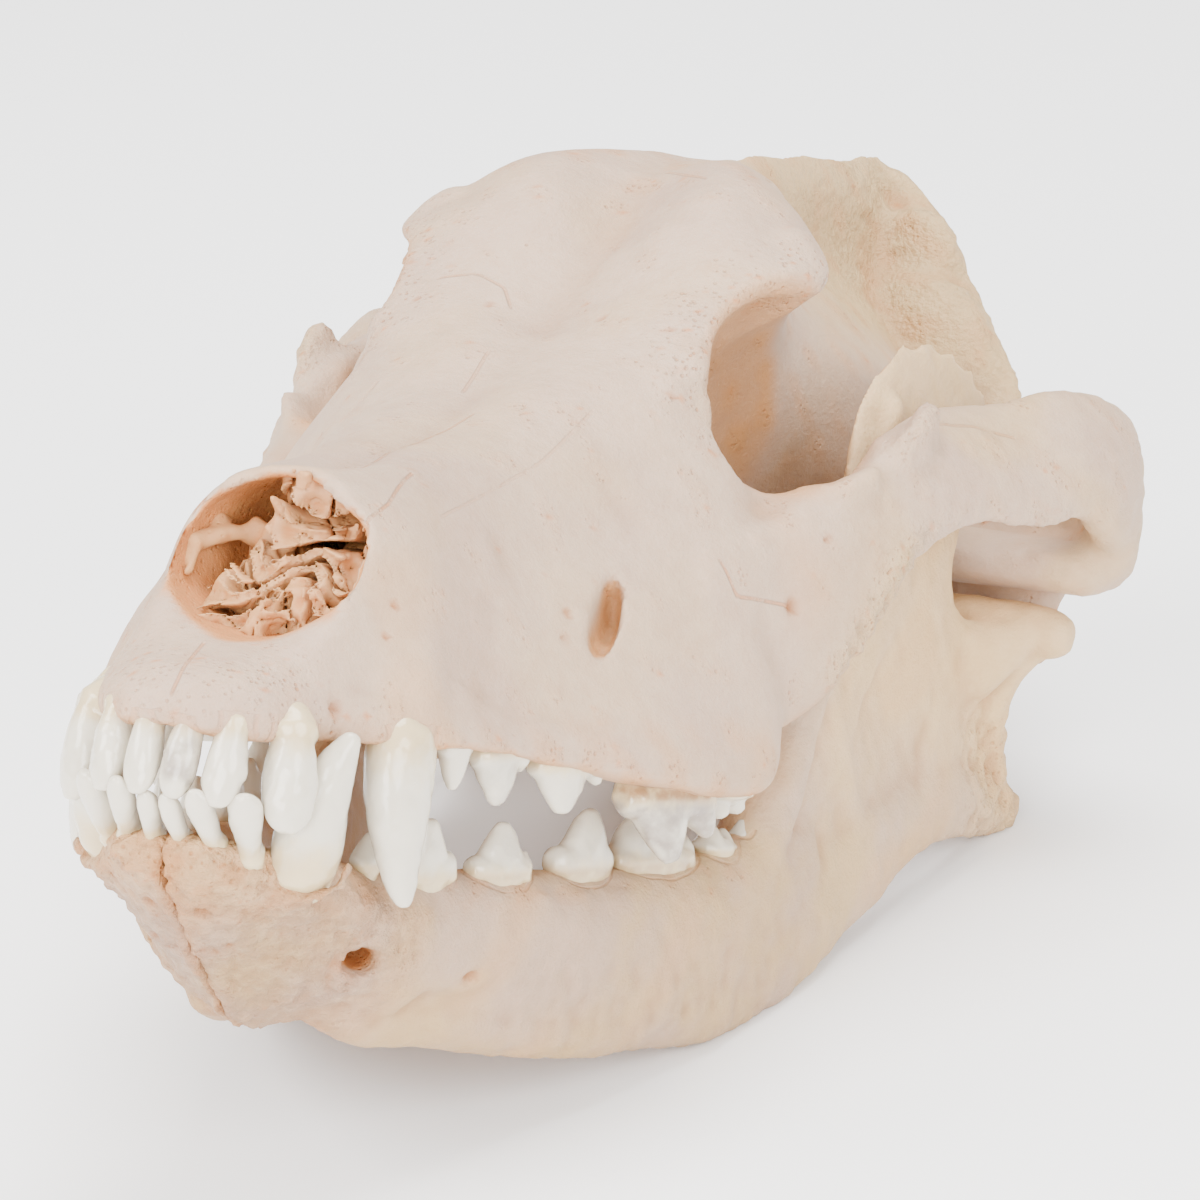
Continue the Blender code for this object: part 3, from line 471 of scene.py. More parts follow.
def mix_colours(tree, share, first, second, blend="MIX"):
    made = add_node(tree, "ShaderNodeMix", data_type="RGBA", blend_type=blend)
    for socket, source in ((0, share), (6, first), (7, second)):
        if isinstance(source, bpy.types.NodeSocket):
            tree.links.new(source, made.inputs[socket])
        else:
            made.inputs[socket].default_value = source if socket == 0 else (*source, 1)
    return made.outputs[2]


def calculate(tree, operation, first, second=0.0):
    made = add_node(tree, "ShaderNodeMath", operation=operation, links={0: first, 1: second})
    return made.outputs[0]


def ramp(tree, source, low, high):
    """0 at low and 1 at high, held flat outside them. Low may lie above high."""
    made = add_node(tree, "ShaderNodeMapRange", links={0: source, 1: low, 2: high, 3: 0.0, 4: 1.0})
    made.interpolation_type = "SMOOTHSTEP"
    return made.outputs[0]


def bone_grain_group():
    """What dry bone looks like close by: blotches, grain, pores and pits, and painted shade, from masks kept
    on the points.
    """
    found = bpy.data.node_groups.get("bone_grain")
    if found:
        return found
    tree = bpy.data.node_groups.new("bone_grain", "ShaderNodeTree")
    for name in ("Pale", "Blush", "Cream", "Tan", "Orange"):
        tree.interface.new_socket(name, in_out="INPUT", socket_type="NodeSocketColor")
    for name in ("Color", "Roughness", "Height"):
        kind = "NodeSocketColor" if name == "Color" else "NodeSocketFloat"
        tree.interface.new_socket(name, in_out="OUTPUT", socket_type=kind)
    taken = tree.nodes.new("NodeGroupInput").outputs
    given = tree.nodes.new("NodeGroupOutput")
    place = add_node(tree, "ShaderNodeTexCoord").outputs["Object"]
    tint = add_node(tree, "ShaderNodeAttribute", attribute_name="tint").outputs["Vector"]
    tint = add_node(tree, "ShaderNodeSeparateXYZ", links={0: tint}).outputs
    grain = add_node(tree, "ShaderNodeAttribute", attribute_name="grain").outputs["Vector"]
    grain = add_node(tree, "ShaderNodeSeparateXYZ", links={0: grain}).outputs

    def noise(scale, detail=3.0, rough=0.55):
        links = {"Vector": place, "Scale": scale, "Detail": detail, "Roughness": rough}
        return add_node(tree, "ShaderNodeTexNoise", links=links).outputs["Fac"]

    def cells(scale, place_in=place):
        links = {"Vector": place_in, "Scale": scale, "Randomness": 1.0}
        return add_node(tree, "ShaderNodeTexVoronoi", links=links).outputs["Distance"]

    # The line mask holds the signed distance to the nearest seam, in millimetres, and how strong it is.
    line = add_node(tree, "ShaderNodeAttribute", attribute_name="line").outputs["Vector"]
    line = add_node(tree, "ShaderNodeSeparateXYZ", links={0: line}).outputs
    thin = ramp(tree, calculate(tree, "ABSOLUTE", line[0]), 0.42, 0.12)
    thin = calculate(tree, "MULTIPLY", thin, line[1])

    blotches = noise(38.0, 4.0)
    mottle = noise(260.0, 4.0, 0.65)
    fine = noise(1500.0, 4.0, 0.7)
    pits = ramp(tree, cells(900.0), 0.34, 0.10)
    big_pits = ramp(tree, cells(430.0), 0.20, 0.05)
    pits = calculate(tree, "MULTIPLY", pits, ramp(tree, noise(420.0, 2.0), 0.44, 0.58))

    colour = mix_colours(tree, ramp(tree, blotches, 0.40, 0.66), taken["Pale"], taken["Blush"])
    colour = mix_colours(tree, tint[1], colour, taken["Cream"])
    tanned = calculate(tree, "MULTIPLY", tint[0], ramp(tree, mottle, -0.5, 0.6))
    colour = mix_colours(tree, tanned, colour, taken["Tan"])
    speckle = calculate(tree, "MULTIPLY", ramp(tree, fine, 0.35, 0.75), 0.10)
    colour = mix_colours(tree, speckle, colour, taken["Tan"])
    shade = calculate(tree, "MULTIPLY", ramp(tree, mottle, 0.62, 0.36), 0.30)
    colour = mix_colours(tree, shade, colour, (0.86, 0.80, 0.72), "MULTIPLY")
    pores = calculate(tree, "MULTIPLY", calculate(tree, "MAXIMUM", pits, big_pits), grain[0])
    thin = calculate(tree, "MULTIPLY", thin, ramp(tree, mottle, 0.30, 0.55))
    spots = calculate(tree, "MAXIMUM", calculate(tree, "MULTIPLY", pores, 0.5), tint[2])
    spots = calculate(tree, "MAXIMUM", spots, calculate(tree, "MULTIPLY", thin, 0.55))
    colour = mix_colours(tree, spots, colour, taken["Orange"])
    # Painted shade: the third grain mask darkens the colour in hollows and holes, and over the jaw's lower
    # body and chin.
    shadow = calculate(tree, "MULTIPLY", grain[2], 0.6)
    colour = mix_colours(tree, shadow, colour, (0.42, 0.30, 0.21), "MULTIPLY")

    height = calculate(tree, "MULTIPLY", fine, 0.22)
    height = calculate(tree, "ADD", height, calculate(tree, "MULTIPLY", mottle, 0.35))
    coarse = calculate(tree, "MULTIPLY", calculate(tree, "MULTIPLY", noise(700.0, 3.0, 0.6), grain[1]), 1.7)
    height = calculate(tree, "ADD", height, coarse)
    height = calculate(tree, "SUBTRACT", height, calculate(tree, "MULTIPLY", pores, 1.5))
    height = calculate(tree, "SUBTRACT", height, calculate(tree, "MULTIPLY", thin, 1.2))
    roughness = calculate(tree, "ADD", calculate(tree, "MULTIPLY", mottle, 0.22), 0.47)
    for name, source in (("Color", colour), ("Roughness", roughness), ("Height", height)):
        tree.links.new(source, given.inputs[name])
    return tree


def new_material(name):
    """A new material with its node tree and its shader."""
    made = bpy.data.materials.new(name)
    made.use_nodes = True
    return made, made.node_tree, made.node_tree.nodes["Principled BSDF"]


def bone_material(name, blush, cream, relief):
    """Dry bone, with the blush and the yellow of its own part of the skull."""
    found = bpy.data.materials.get(name)
    if found:
        return found
    made, tree, shader = new_material(name)
    look = colours()
    surface = add_node(tree, "ShaderNodeGroup", node_tree=bone_grain_group())
    parts = {"Pale": look.pale, "Blush": blush, "Cream": cream, "Tan": look.tan, "Orange": look.orange}
    for socket, colour in parts.items():
        surface.inputs[socket].default_value = (*colour, 1)
    tree.links.new(surface.outputs["Color"], shader.inputs["Base Color"])
    tree.links.new(surface.outputs["Roughness"], shader.inputs["Roughness"])
    bump = add_node(tree, "ShaderNodeBump", links={"Height": surface.outputs["Height"], "Strength": 0.55})
    bump.inputs["Distance"].default_value = relief
    tree.links.new(bump.outputs["Normal"], shader.inputs["Normal"])
    shader.inputs["Specular IOR Level"].default_value = 0.35
    shader.inputs["Subsurface Weight"].default_value = 0.12
    shader.inputs["Subsurface Radius"].default_value = (1.0, 0.55, 0.35)
    shader.inputs["Subsurface Scale"].default_value = 0.003
    return made


def noise_of(tree, place, scale, detail):
    links = {"Vector": place, "Scale": scale, "Detail": detail}
    return add_node(tree, "ShaderNodeTexNoise", links=links).outputs["Fac"]


def enamel_material():
    """Glossy enamel, yellow at the neck, with grey or brown wear where the tooth's masks say."""
    found = bpy.data.materials.get("tooth_enamel_worn")
    if found:
        return found
    made, tree, shader = new_material("tooth_enamel_worn")
    place = add_node(tree, "ShaderNodeTexCoord").outputs["Object"]
    crown = add_node(tree, "ShaderNodeAttribute", attribute_name="crown").outputs["Vector"]
    crown = add_node(tree, "ShaderNodeSeparateXYZ", links={0: crown}).outputs
    cloud = noise_of(tree, place, 330.0, 4.0)
    fine = noise_of(tree, place, 1400.0, 3.0)
    uneven = calculate(tree, "MULTIPLY", calculate(tree, "SUBTRACT", cloud, 0.5), 0.35)
    height = calculate(tree, "ADD", crown[0], uneven)
    look = colours()
    yellow = calculate(tree, "MULTIPLY", ramp(tree, height, 0.40, 0.10), 0.75)
    colour = mix_colours(tree, yellow, tuple(look.enamel), tuple(look.neck))
    grey = calculate(tree, "MULTIPLY", crown[1], ramp(tree, cloud, 0.1, 0.7))
    colour = mix_colours(tree, grey, colour, tuple(look.worn))
    brown = calculate(tree, "MULTIPLY", crown[2], ramp(tree, cloud, 0.25, 0.6))
    colour = mix_colours(tree, brown, colour, (0.30, 0.17, 0.08))
    tree.links.new(colour, shader.inputs["Base Color"])
    roughness = calculate(tree, "ADD", calculate(tree, "MULTIPLY", cloud, 0.2), 0.12)
    tree.links.new(roughness, shader.inputs["Roughness"])
    bump = add_node(tree, "ShaderNodeBump", links={"Height": fine, "Strength": 0.12, "Distance": 0.0003})
    tree.links.new(bump.outputs["Normal"], shader.inputs["Normal"])
    shader.inputs["Subsurface Weight"].default_value = 0.18
    shader.inputs["Subsurface Radius"].default_value = (1.0, 0.8, 0.55)
    shader.inputs["Subsurface Scale"].default_value = 0.0025
    shader.inputs["Coat Weight"].default_value = 0.35
    shader.inputs["Coat Roughness"].default_value = 0.08
    return made


# The muzzle, from the incisors back to the cheek. Each half section runs: middle of the nose, edge of the
# nose, upper flank, flank, flank above the sockets, outer edge of the sockets, inner edge, palate, middle.
MUZZLE = [
    (-3, [(0, 6.4), (3, 6.4), (5, 5.8), (6.5, 4.6), (6.8, 3.2), (6, 2), (4, 1.6), (2, 1.8), (0, 2)]),
    (2, [(0, 9.6), (5, 9.6), (8.5, 8.8), (11.6, 6.6), (13, 3.8), (12, 1.4), (8, 0.8), (4, 1.8), (0, 2.2)]),
    (8, [(0, 11.8), (6, 11.8), (11, 10.8), (14.8, 7.8), (17, 3.8), (16.2, 1.2), (10.5, 0.8), (5, 2.4),
         (0, 2.8)]),
    (14, [(0, 13.8), (7, 14), (12.5, 13.2), (16.4, 9.6), (19, 3.8), (18.2, 0.8), (12.5, 1.2), (6, 3.2),
          (0, 3.6)]),
    (20, [(0, 16), (8, 17.4), (14.4, 19), (17.8, 12), (21, 4.6), (21.8, 1), (15, 1.8), (7, 4), (0, 4.4)]),
    (26, [(0, 31), (7, 31.4), (13.2, 28.4), (19, 17.6), (24, 6), (26, 1), (18, 2.2), (9, 4.6), (0, 5)]),
    (31, [(0, 39.4), (7, 38.4), (13.8, 34.2), (20.4, 20), (26, 7), (28.6, 1), (20, 2.4), (10, 5),
          (0, 5.4)]),
    (36, [(0, 40.2), (7.4, 39.4), (14.2, 36.2), (21.4, 21.6), (27.4, 7), (30.6, 1), (21.4, 2.4), (10.5, 5),
          (0, 5.5)]),
    (42, [(0, 39.8), (7.4, 39.9), (14.4, 36.8), (21.8, 22.4), (28.4, 8), (32, 0.6), (22.4, 2.2), (11, 5),
          (0, 5.5)]),
    (54, [(0, 39.9), (8, 40.4), (14, 37), (21.8, 24.4), (29.8, 9), (34.4, -1), (23.6, 0.6), (12, 4.5),
          (0, 5.5)]),
    (70, [(0, 42.8), (8, 43), (14.5, 39.6), (23.8, 27), (33, 10), (39, -3), (27, -2), (14, 4), (0, 5)]),
    (86, [(0, 45.8), (8, 46.5), (16, 43.6), (27.4, 31), (39, 12), (46.6, -5.6), (31.4, -4.6), (16, 3),
          (0, 5)]),
    (100, [(0, 50.8), (9, 52.4), (19, 49), (31.5, 35), (43.4, 14), (50.6, -7), (34, -6), (17, 2.5),
           (0, 5)]),
    (112, [(0, 56.5), (10, 58.6), (22, 56), (34.5, 42), (46, 18), (51.6, -7), (35.5, -6), (17, 2.5),
           (0, 5)]),
    (122, [(0, 61), (11, 63), (22, 61.5), (34, 48), (44, 22), (47, -5), (35, -5.4), (17, 3), (0, 5)]),
    (129, [(0, 64.5), (12, 66.5), (22, 65.5), (33, 50), (41, 26), (41, 2), (33, -1), (17, 4), (0, 6)]),
]

# Brow, orbit wall, waist and braincase. Each half section runs: middle of the top, brow or crest, slope,
# outer edge, under the edge, side wall, lower side wall, edge of the base, middle of the base.
VAULT = [
    (104, [(0, 52.5), (9, 54), (18, 51.5), (26, 43), (28, 34), (27, 26), (24, 17), (17, 8), (0, 6)]),
    (118, [(0, 59), (11, 61.5), (21, 61), (29, 57), (26, 48), (21, 39), (18, 26), (14, 14), (0, 12)]),
    (130, [(0, 65.5), (13, 69), (24, 69.5), (31.5, 65.5), (28, 58), (20, 48), (16.5, 32), (13.5, 17),
           (0, 15)]),
    (141, [(0, 73), (15, 79.5), (27, 77.6), (36, 72.6), (32, 67), (20, 56), (15.5, 36), (13, 20), (0, 20)]),
    (150, [(0, 79), (17, 86.4), (28.5, 80.6), (38.6, 74.4), (33, 68.5), (20, 60), (15.5, 38), (12.5, 21),
           (0, 22)]),
    (158, [(0, 85), (17.5, 89.2), (27.6, 84), (33.6, 74), (29, 67.5), (20, 59), (15.5, 40), (12.5, 21),
           (0, 23)]),
    (168, [(0, 88.8), (14, 90.4), (21.5, 84.4), (24.5, 72), (24, 63), (21, 53), (17, 40), (13.5, 22),
           (0, 22)]),
    (180, [(0, 90), (8, 90), (13, 81.5), (19.5, 69), (23.5, 58), (25, 47), (22, 34), (16, 21), (0, 19)]),
    (194, [(0, 91), (3.4, 88.6), (6.5, 78), (18.5, 67), (27.5, 56), (30, 44), (27, 30), (18, 19),
           (0, 16.5)]),
    (212, [(0, 92), (2.8, 88.6), (5, 77), (17.5, 67), (28, 56), (32, 43), (29.5, 28), (18, 17.5),
           (0, 15.5)]),
    (232, [(0, 92.6), (2.8, 89), (5, 75), (16.5, 63), (27, 52), (31.5, 40), (29, 27), (18, 16.5),
           (0, 15.5)]),
    (250, [(0, 92.6), (3, 89), (5.6, 75), (13.5, 62), (22.5, 51), (27.5, 39), (25.5, 27), (16, 18),
           (0, 18)]),
    (262, [(0, 93), (3.4, 89), (7, 76), (13.5, 64), (19, 53), (21, 42), (18, 31), (11, 25), (0, 26)]),
    (268, [(0, 93), (3.4, 89), (7, 77), (10.5, 66), (12.5, 56), (12.5, 48), (9, 41), (6, 38), (0, 38)]),
]

# The left cheek arch: middle of its section, half its thickness and half its height, and how many degrees
# its upper edge leans in towards the braincase.
ARCH = [
    ((36, 106, 20), (6, 12), 0),
    ((43, 122, 17.5), (6, 17.5), 0),
    ((48.4, 134, 26), (5.4, 14), 8),
    ((52, 146, 36.5), (4.4, 11), 22),
    ((55, 157, 42.4), (3.8, 10.4), 33),
    ((57.2, 170, 45.6), (3.6, 11), 40),
    ((62, 183, 45.4), (3.9, 12), 38),
    ((67, 197, 47.8), (4.5, 11.6), 28),
    ((69.4, 208, 45.2), (5.1, 12.8), 16),
    ((68.6, 217, 42), (5.4, 12.6), 6),
    ((63.6, 224.5, 35), (6, 12), 0),
    ((54, 229, 32), (7, 9), 0),
    ((43, 231, 30), (7, 8), 0),
    ((30, 231, 29), (7, 7), 0),
]


def leaning(degrees):
    """The upward direction of a section whose upper edge leans towards the middle of the skull."""
    return (-math.sin(math.radians(degrees)), 0, math.cos(math.radians(degrees)))


def cranium_clay():
    shapes = [loft(MUZZLE, pieces=150), loft(VAULT, pieces=160)]
    centre, size, lean = zip(*ARCH)
    ups = [leaning(degrees) for degrees in lean]
    shapes += both(roll(centre, size, up=ups, pieces=64, sides=30, square=0.85))
    # The upright knob on the arch behind the eye.
    shapes += both(roll([(53.6, 154, 44), (55, 156, 51), (55.4, 157, 55)], [(3.4, 7), (2.8, 5), (2.2, 2.6)],
                        up=(0, 1, 0)))
    # The rounded lower edge of the orbit.
    shapes += both(roll([(30, 121, 42), (35, 127, 36.4), (41.5, 132, 35.6), (48, 137, 39), (52.5, 142, 44)],
                        [(3, 3), (3.4, 3.2), (3.6, 3.4), (3.2, 3.2), (2.4, 2.4)], pieces=20))
    # The root bulge of each canine, running up and back over the flank.
    shapes += both(roll([(23.4, 33, 3), (21.8, 37, 12), (19.4, 47, 21)], [(5, 6.4), (4.2, 5.6), (3.2, 4)],
                        up=(0, 1, 0)))
    # The fins at the back of the skull, flaring from the crest down to behind the ears.
    fin = [(0, 266, 88), (5, 267, 86), (10, 265.5, 81.4), (15, 263, 75.6), (20.5, 259.8, 69), (26, 256, 62),
           (31.5, 253, 54), (34, 246, 43), (34, 239, 30)]
    fin_size = [(2.8, 4), (2.6, 4.8), (2.4, 5), (2.4, 5), (2.4, 5), (2.6, 5.4), (3, 6), (3.2, 6), (4, 6)]
    shapes += both(roll(fin, fin_size, up=[(0.1, 0, 1)] * 2 + [(0.75, 0, 0.6)] * 6 + [(1, 0, 0)],
                        pieces=40))
    # Back wall between the fins, ear region and base.
    shapes += both(ball((9, 261, 72), (11, 5, 14), (0, 35, -12)))
    shapes += both(ball((14, 255, 56), (20, 9, 18), (0, 0, -14)))
    shapes += both(ball((22, 250, 36), (15, 10, 16)))
    shapes += both(ball((20, 226, 12), (9.5, 13, 10)))
    shapes += both(ball((31, 238, 22), (8, 9, 10)))
    shapes += both(roll([(27, 250, 24), (28, 254, 15), (28, 255, 9)], [(5, 4.5), (4, 3.6), (2.4, 2.2)],
                        up=(0, 1, 0)))
    shapes += both(ball((12.5, 263, 28), (7.5, 8.5, 9), (20, 0, 15)))
    shapes.append(roll([(0, 176, 20), (0, 215, 18.5), (0, 258, 21)], [(12, 4), (13, 4), (11, 4)]))
    # The hollow that takes each condyle, and the stop behind it.
    shapes += both(roll([(36, 217, 27.5), (50, 218, 27.2), (66, 217, 28)], [(10, 4.8), (10, 4.6), (8, 5)],
                        pieces=20))
    shapes += both(roll([(49, 227, 27), (51.5, 227, 18), (54, 228, 10)], [(9, 4.5), (6.4, 3.4), (3.4, 2.2)],
                        up=(0, 1, 0)))
    shapes += both(roll([(41, 228.5, 27), (42, 229, 19), (44, 229, 14)], [(6, 4), (5, 3.4), (3, 2.6)],
                        up=(0, 1, 0)))
    # The wings below the orbits, on both sides of the throat passage.
    wing = [(14.5, 126, 12), (13.5, 142, 13), (12.5, 158, 14), (12, 172, 13), (12.5, 182, 14)]
    shapes += both(roll(wing, [(2.8, 8), (2.3, 9), (2.2, 10), (2.2, 9), (2.6, 6)], pieces=24))
    shapes += both(roll([(24, 121, 3), (22, 130, 3), (18, 137, 5)], [(8, 5), (6, 4.5), (4, 3.5)],
                        pieces=16))
    # The tips behind the orbits, which hook down.
    hook = [(30, 152, 79.5), (34.5, 150, 76), (36.8, 148.8, 71.6)]
    shapes += both(roll(hook, [(4.2, 3), (3, 2.6), (1.3, 1.5)], pieces=16))
    return shapes


def hinge_line(*xs):
    """Places on the jaw's hinge line, by how far out they are."""
    return [(x, HINGE_Y_MM, HINGE_Z_MM) for x in xs]


def cranium_cutters():
    """The nose opening, the orbits, the passages and the holes in the bone."""
    nose = roll([(0, 8, 27), (0, 20, 26.2), (0, 30, 26.2), (0, 44, 24.8), (0, 62, 23)],
                [(12.6, 11), (13.8, 11.6), (14, 11.6), (13.2, 11.6), (11, 9.6)], pieces=26, sides=20)
    nose_notch = ball((0, 21.5, 43), (15.5, 13.5, 13))
    orbits = both(roll([(48, 128, 62), (41, 138, 57), (31, 147, 51), (23, 155, 45)],
                       [(19, 19), (17, 17.6), (14.5, 15), (9, 10)], pieces=22, sides=20))
    orbits += both(ball((38.6, 129, 51), (12, 10.5, 11.8)))
    below_orbits = both(roll([(34, 139, 28), (33, 151, 26), (33, 167, 26)],
                             [(8, 9), (12.5, 15), (14, 18)], pieces=18, sides=16))
    throat = roll([(0, 136, 12), (0, 152, 9), (0, 170, 9), (0, 184, 4)],
                  [(9.5, 5), (10, 8), (9.8, 8), (9, 6)], pieces=20)
    brain_hole = roll([(0, 246, 36), (0, 258, 33), (0, 276, 30)], [(8.5, 7.5), (8.8, 8), (11, 10)],
                      pieces=12)
    slit = roll(NERVE_SLIT, [(2.1, 7.4), (2.1, 7.2), (1.4, 5.4)], pieces=14)
    nose_sides = roll([(-24, 20, 34), (0, 20, 34), (24, 20, 34)], [(11.5, 8)] * 3, pieces=12)
    clear = CONDYLE_RADIUS_MM + CONDYLE_CLEARANCE_MM
    end = clear - CONDYLE_TAPER_MM
    condyle_room = both(roll(hinge_line(33, 52, 72), [(end, end), (clear, clear), (end, end)],
                             pieces=12, sides=20))
    return {
        "nose_opening": [nose],
        "nose_notch": [nose_notch],
        "orbit_hollows": orbits,
        "hollows_below_orbits": below_orbits,
        "throat_passage": [throat],
        "spinal_opening": [brain_hole],
        "holes_below_eyes": both(slit),
        "condyle_rooms": condyle_room,
        "nose_sides": [nose_sides],
        "nose_roof": [roll(NOSE_PATH, NOSE_HALVES, pieces=30)],
    }


# The front of the lower jaw, where the two dentaries meet. Each half section runs: middle of the top, inner
# edge of the teeth, outer edge of the teeth, down the side, to the middle of the bottom.
CHIN = [
    (1, [(0, -15), (4, -15), (6.6, -15.6), (8, -17.4), (6.6, -19.6), (3.6, -20.8), (0, -21.4)]),
    (8, [(0, -15.6), (6.5, -15.2), (11.6, -16.4), (12.6, -19), (9.4, -23.5), (5, -26.2), (0, -27.2)]),
    (15, [(0, -16.4), (7.5, -16.6), (16, -17.4), (17, -20.5), (11.8, -26.6), (6.4, -31.8), (0, -34)]),
    (22, [(0, -18), (8, -18), (18.4, -18.4), (20, -22), (14.8, -28.4), (8.2, -34.4), (0, -39.6)]),
    (30, [(0, -22), (8, -20), (19.4, -19.4), (22, -24), (17.6, -31), (10.2, -37.8), (0, -45)]),
    (38, [(0, -28), (8, -23.4), (19.6, -20), (23.8, -25.5), (20.8, -33), (13.4, -40.6), (0, -47)]),
    (46, [(0, -37), (8, -28), (19.8, -20.8), (25.2, -26.4), (23.2, -35), (15.6, -42.8), (0, -46.4)]),
    (51, [(0, -42), (8, -33), (20.4, -22), (25.6, -27), (25.2, -36), (18, -43), (0, -44.4)]),
]

# The left dentary: middle of its section, then half its thickness and half its height. The first body
# carries the teeth; the keel is the rounded border below it, and runs on to the hook at the rear; the side
# joins the two in one smooth flank.
TOOTH_BEARING_BODY = [
    ((17.2, 42, -29), (5.6, 9)),
    ((21.6, 55, -29.8), (6.2, 9.4)),
    ((26.4, 72, -30.4), (6.7, 9.6)),
    ((31.2, 90, -31), (7, 10)),
    ((35.4, 108, -31.2), (7.2, 10.8)),
    ((38.6, 124, -30), (6.9, 11.4)),
    ((41, 138, -27), (6.2, 11.2)),
    ((43, 152, -24), (5, 11)),
]
JAW_KEEL = [
    ((9.6, 44, -39), (4.6, 7.8)),
    ((13.2, 55, -40.8), (5.2, 8.4)),
    ((16.2, 60, -40.8), (5.7, 8.4)),
    ((21.6, 72, -41.2), (6.1, 9)),
    ((28.6, 90, -41.4), (6.4, 10)),
    ((34.2, 108, -40.4), (6.6, 10.9)),
    ((38.4, 124, -39), (6.2, 11.6)),
    ((41.2, 138, -36.2), (5.6, 11.6)),
    ((43.4, 152, -30.8), (4.8, 11.2)),
    ((45, 166, -25), (4.1, 10.4)),
    ((46.8, 182, -18.6), (3.5, 8.8)),
    ((48.2, 197, -15), (3.2, 7)),
    ((49.4, 211, -14.2), (3.2, 6.3)),
    ((50.4, 222, -15.6), (3.2, 5)),
    ((51, 230, -17), (2.8, 3.2)),
]
JAW_SIDE = [
    ((13, 43, -34.6), (5.4, 6.6)),
    ((16.6, 55, -35.4), (6, 7)),
    ((24, 72, -36), (6.7, 8.6)),
    ((29.8, 90, -36.4), (7, 9.6)),
    ((34.8, 108, -36), (7.1, 10.2)),
    ((38.5, 124, -34.5), (6.7, 11.2)),
    ((41, 138, -31.5), (6, 11.6)),
    ((43.2, 152, -27.5), (5, 11)),
]

# The upright blade of the left dentary, seen from the side, as y and z round its edge.
BLADE_EDGE = [
    (136, -38), (138, -18), (145, 6), (151, 26), (156, 42), (158.5, 53), (164, 60), (172, 63.8), (182, 65),
    (192, 63.6), (202, 60), (209, 54.5), (208, 47), (202, 38), (198, 30), (199, 22), (205, 18), (214, 15),
    (220, 8), (221, 1), (221.5, -5),
    (225, -11), (232, -14.5), (229, -19), (212, -19), (190, -22.5), (165, -33),
]


def blade_x(y, z):
    """How far out the blade stands at a place on it: it leans in towards its top."""
    return 46.5 + (y - 185) * 0.085 - max(z - 15, 0) * 0.045


def blade(edge, thick):
    """The blade: its outline closed over with a fan of rings that thin towards the edge."""
    edge = np.array(edge, float)
    along = lengths_along(np.vstack([edge, edge[:1]]))
    closed = smooth_between(along, np.vstack([edge, edge[:1]]), np.linspace(0, along[-1], 61))[:-1]
    middle = closed.mean(axis=0)
    rings = []
    for side in (1, -1):
        rows = [(0.93, 0.45), (0.8, 0.85), (0.4, 1.0), (0.05, 1.0)]
        for scale, share in rows if side == -1 else rows[::-1]:
            ring = middle + (closed - middle) * scale
            rings.append([(blade_x(y, z) + side * thick * share / 2, y, z) for y, z in ring])
        if side == 1:
            rings.append([(blade_x(y, z), y, z) for y, z in closed])
    return skin(np.array(rings))


def dentary_clay():
    """The whole front of the jaw, which is parted at its middle later, and the left dentary behind it."""
    shapes = [loft(CHIN, pieces=40), blade(BLADE_EDGE, 4.6)]
    for body in (TOOTH_BEARING_BODY, JAW_SIDE, JAW_KEEL):
        centre, size = zip(*body)
        shapes.append(roll(centre, size, pieces=80, sides=30, square=0.9))
    # The broad front of the blade and the ridge that runs from it to the condyle.
    front = [(40.4, 135, -21), (41, 142, -6), (42.2, 151, 14), (43.4, 160, 36), (43.6, 168, 54)]
    shapes.append(roll(front, [(5.6, 6), (5.2, 6), (4, 4.4), (3.2, 3.2), (2.5, 3)], up=(1, 0, 0)))
    shapes.append(roll([(49, 206, 9), (52, 212, 14)], [(5, 7), (8, 4.5)], pieces=10))
    neck = [(50, 224, -14), (50, 219, -4), (52, 216, 7), (56, 214, 13)]
    shapes.append(roll(neck, [(2.6, 3.4), (2.8, 3.2), (3.4, 3.6), (4, 4)], up=(1, 0, 0)))
    # The condyle is round about the hinge.
    ends = CONDYLE_RADIUS_MM - CONDYLE_TAPER_MM
    condyle = roll(hinge_line(41, 52, 62.5), [(ends, ends), (CONDYLE_RADIUS_MM,) * 2, (ends, ends)],
                   pieces=12, sides=20)
    shapes.append(condyle)
    return shapes


def dentary_cutters():
    holes = [
        roll([(30, 30, -34), (20, 34.5, -33.6), (14, 42, -33)], [(4.4, 3.3), (3.9, 3.0), (2.0, 1.7)],
             pieces=8, sides=12),
        roll([(36, 56, -37), (28, 59, -36.7), (22, 64, -36)], [(1.3, 1.3), (1.2, 1.2), (1, 1)], pieces=8,
             sides=8),
    ]
    inner = [roll([(35, 173, -8), (41, 166, -8.5), (43.6, 160, -10)], [(3, 5), (2.2, 3.6), (1, 2)],
                  pieces=8, sides=10)]
    return {"chin_holes": holes, "nerve_hole": inner}


# Places on the left side of the cranium, each as points along it.
CHEEK_TOOTH_LEDGE = [(33.4, 56.7, 1.9), (34.5, 60.8, 2.6), (36, 65.2, 1.5), (38.4, 73.1, 0.7),
                     (40.4, 77, -1.4)]
SPONGY_PATCH = [(34.4, 59, 0.2), (36, 65, -0.8), (38.4, 73, -1.8)]
ARCH_LOWER_EDGE = [(52, 134, 12), (58, 146, 29), (64, 153, 36), (71, 167, 37.5), (73, 186, 35),
                   (74, 206, 26)]
ARCH_UPPER_EDGE = [(55, 148, 49), (58, 154, 55.5), (63, 168, 56), (71, 184, 59)]
ORBIT_AXIS = [(48, 128, 60), (41, 138, 56), (31, 147, 51), (23, 155, 45)]
ORBIT_RIM = [(38, 151, 74), (31, 139, 70.5), (28.6, 128, 67), (28, 120, 61), (30, 119, 52)]
CHEEK_HOLLOW = [(38, 128, 24), (34, 146, 28), (33, 166, 26)]
JAW_FRONT = [(2, 0, 6), (7, 4, 9), (13, 10, 10)]

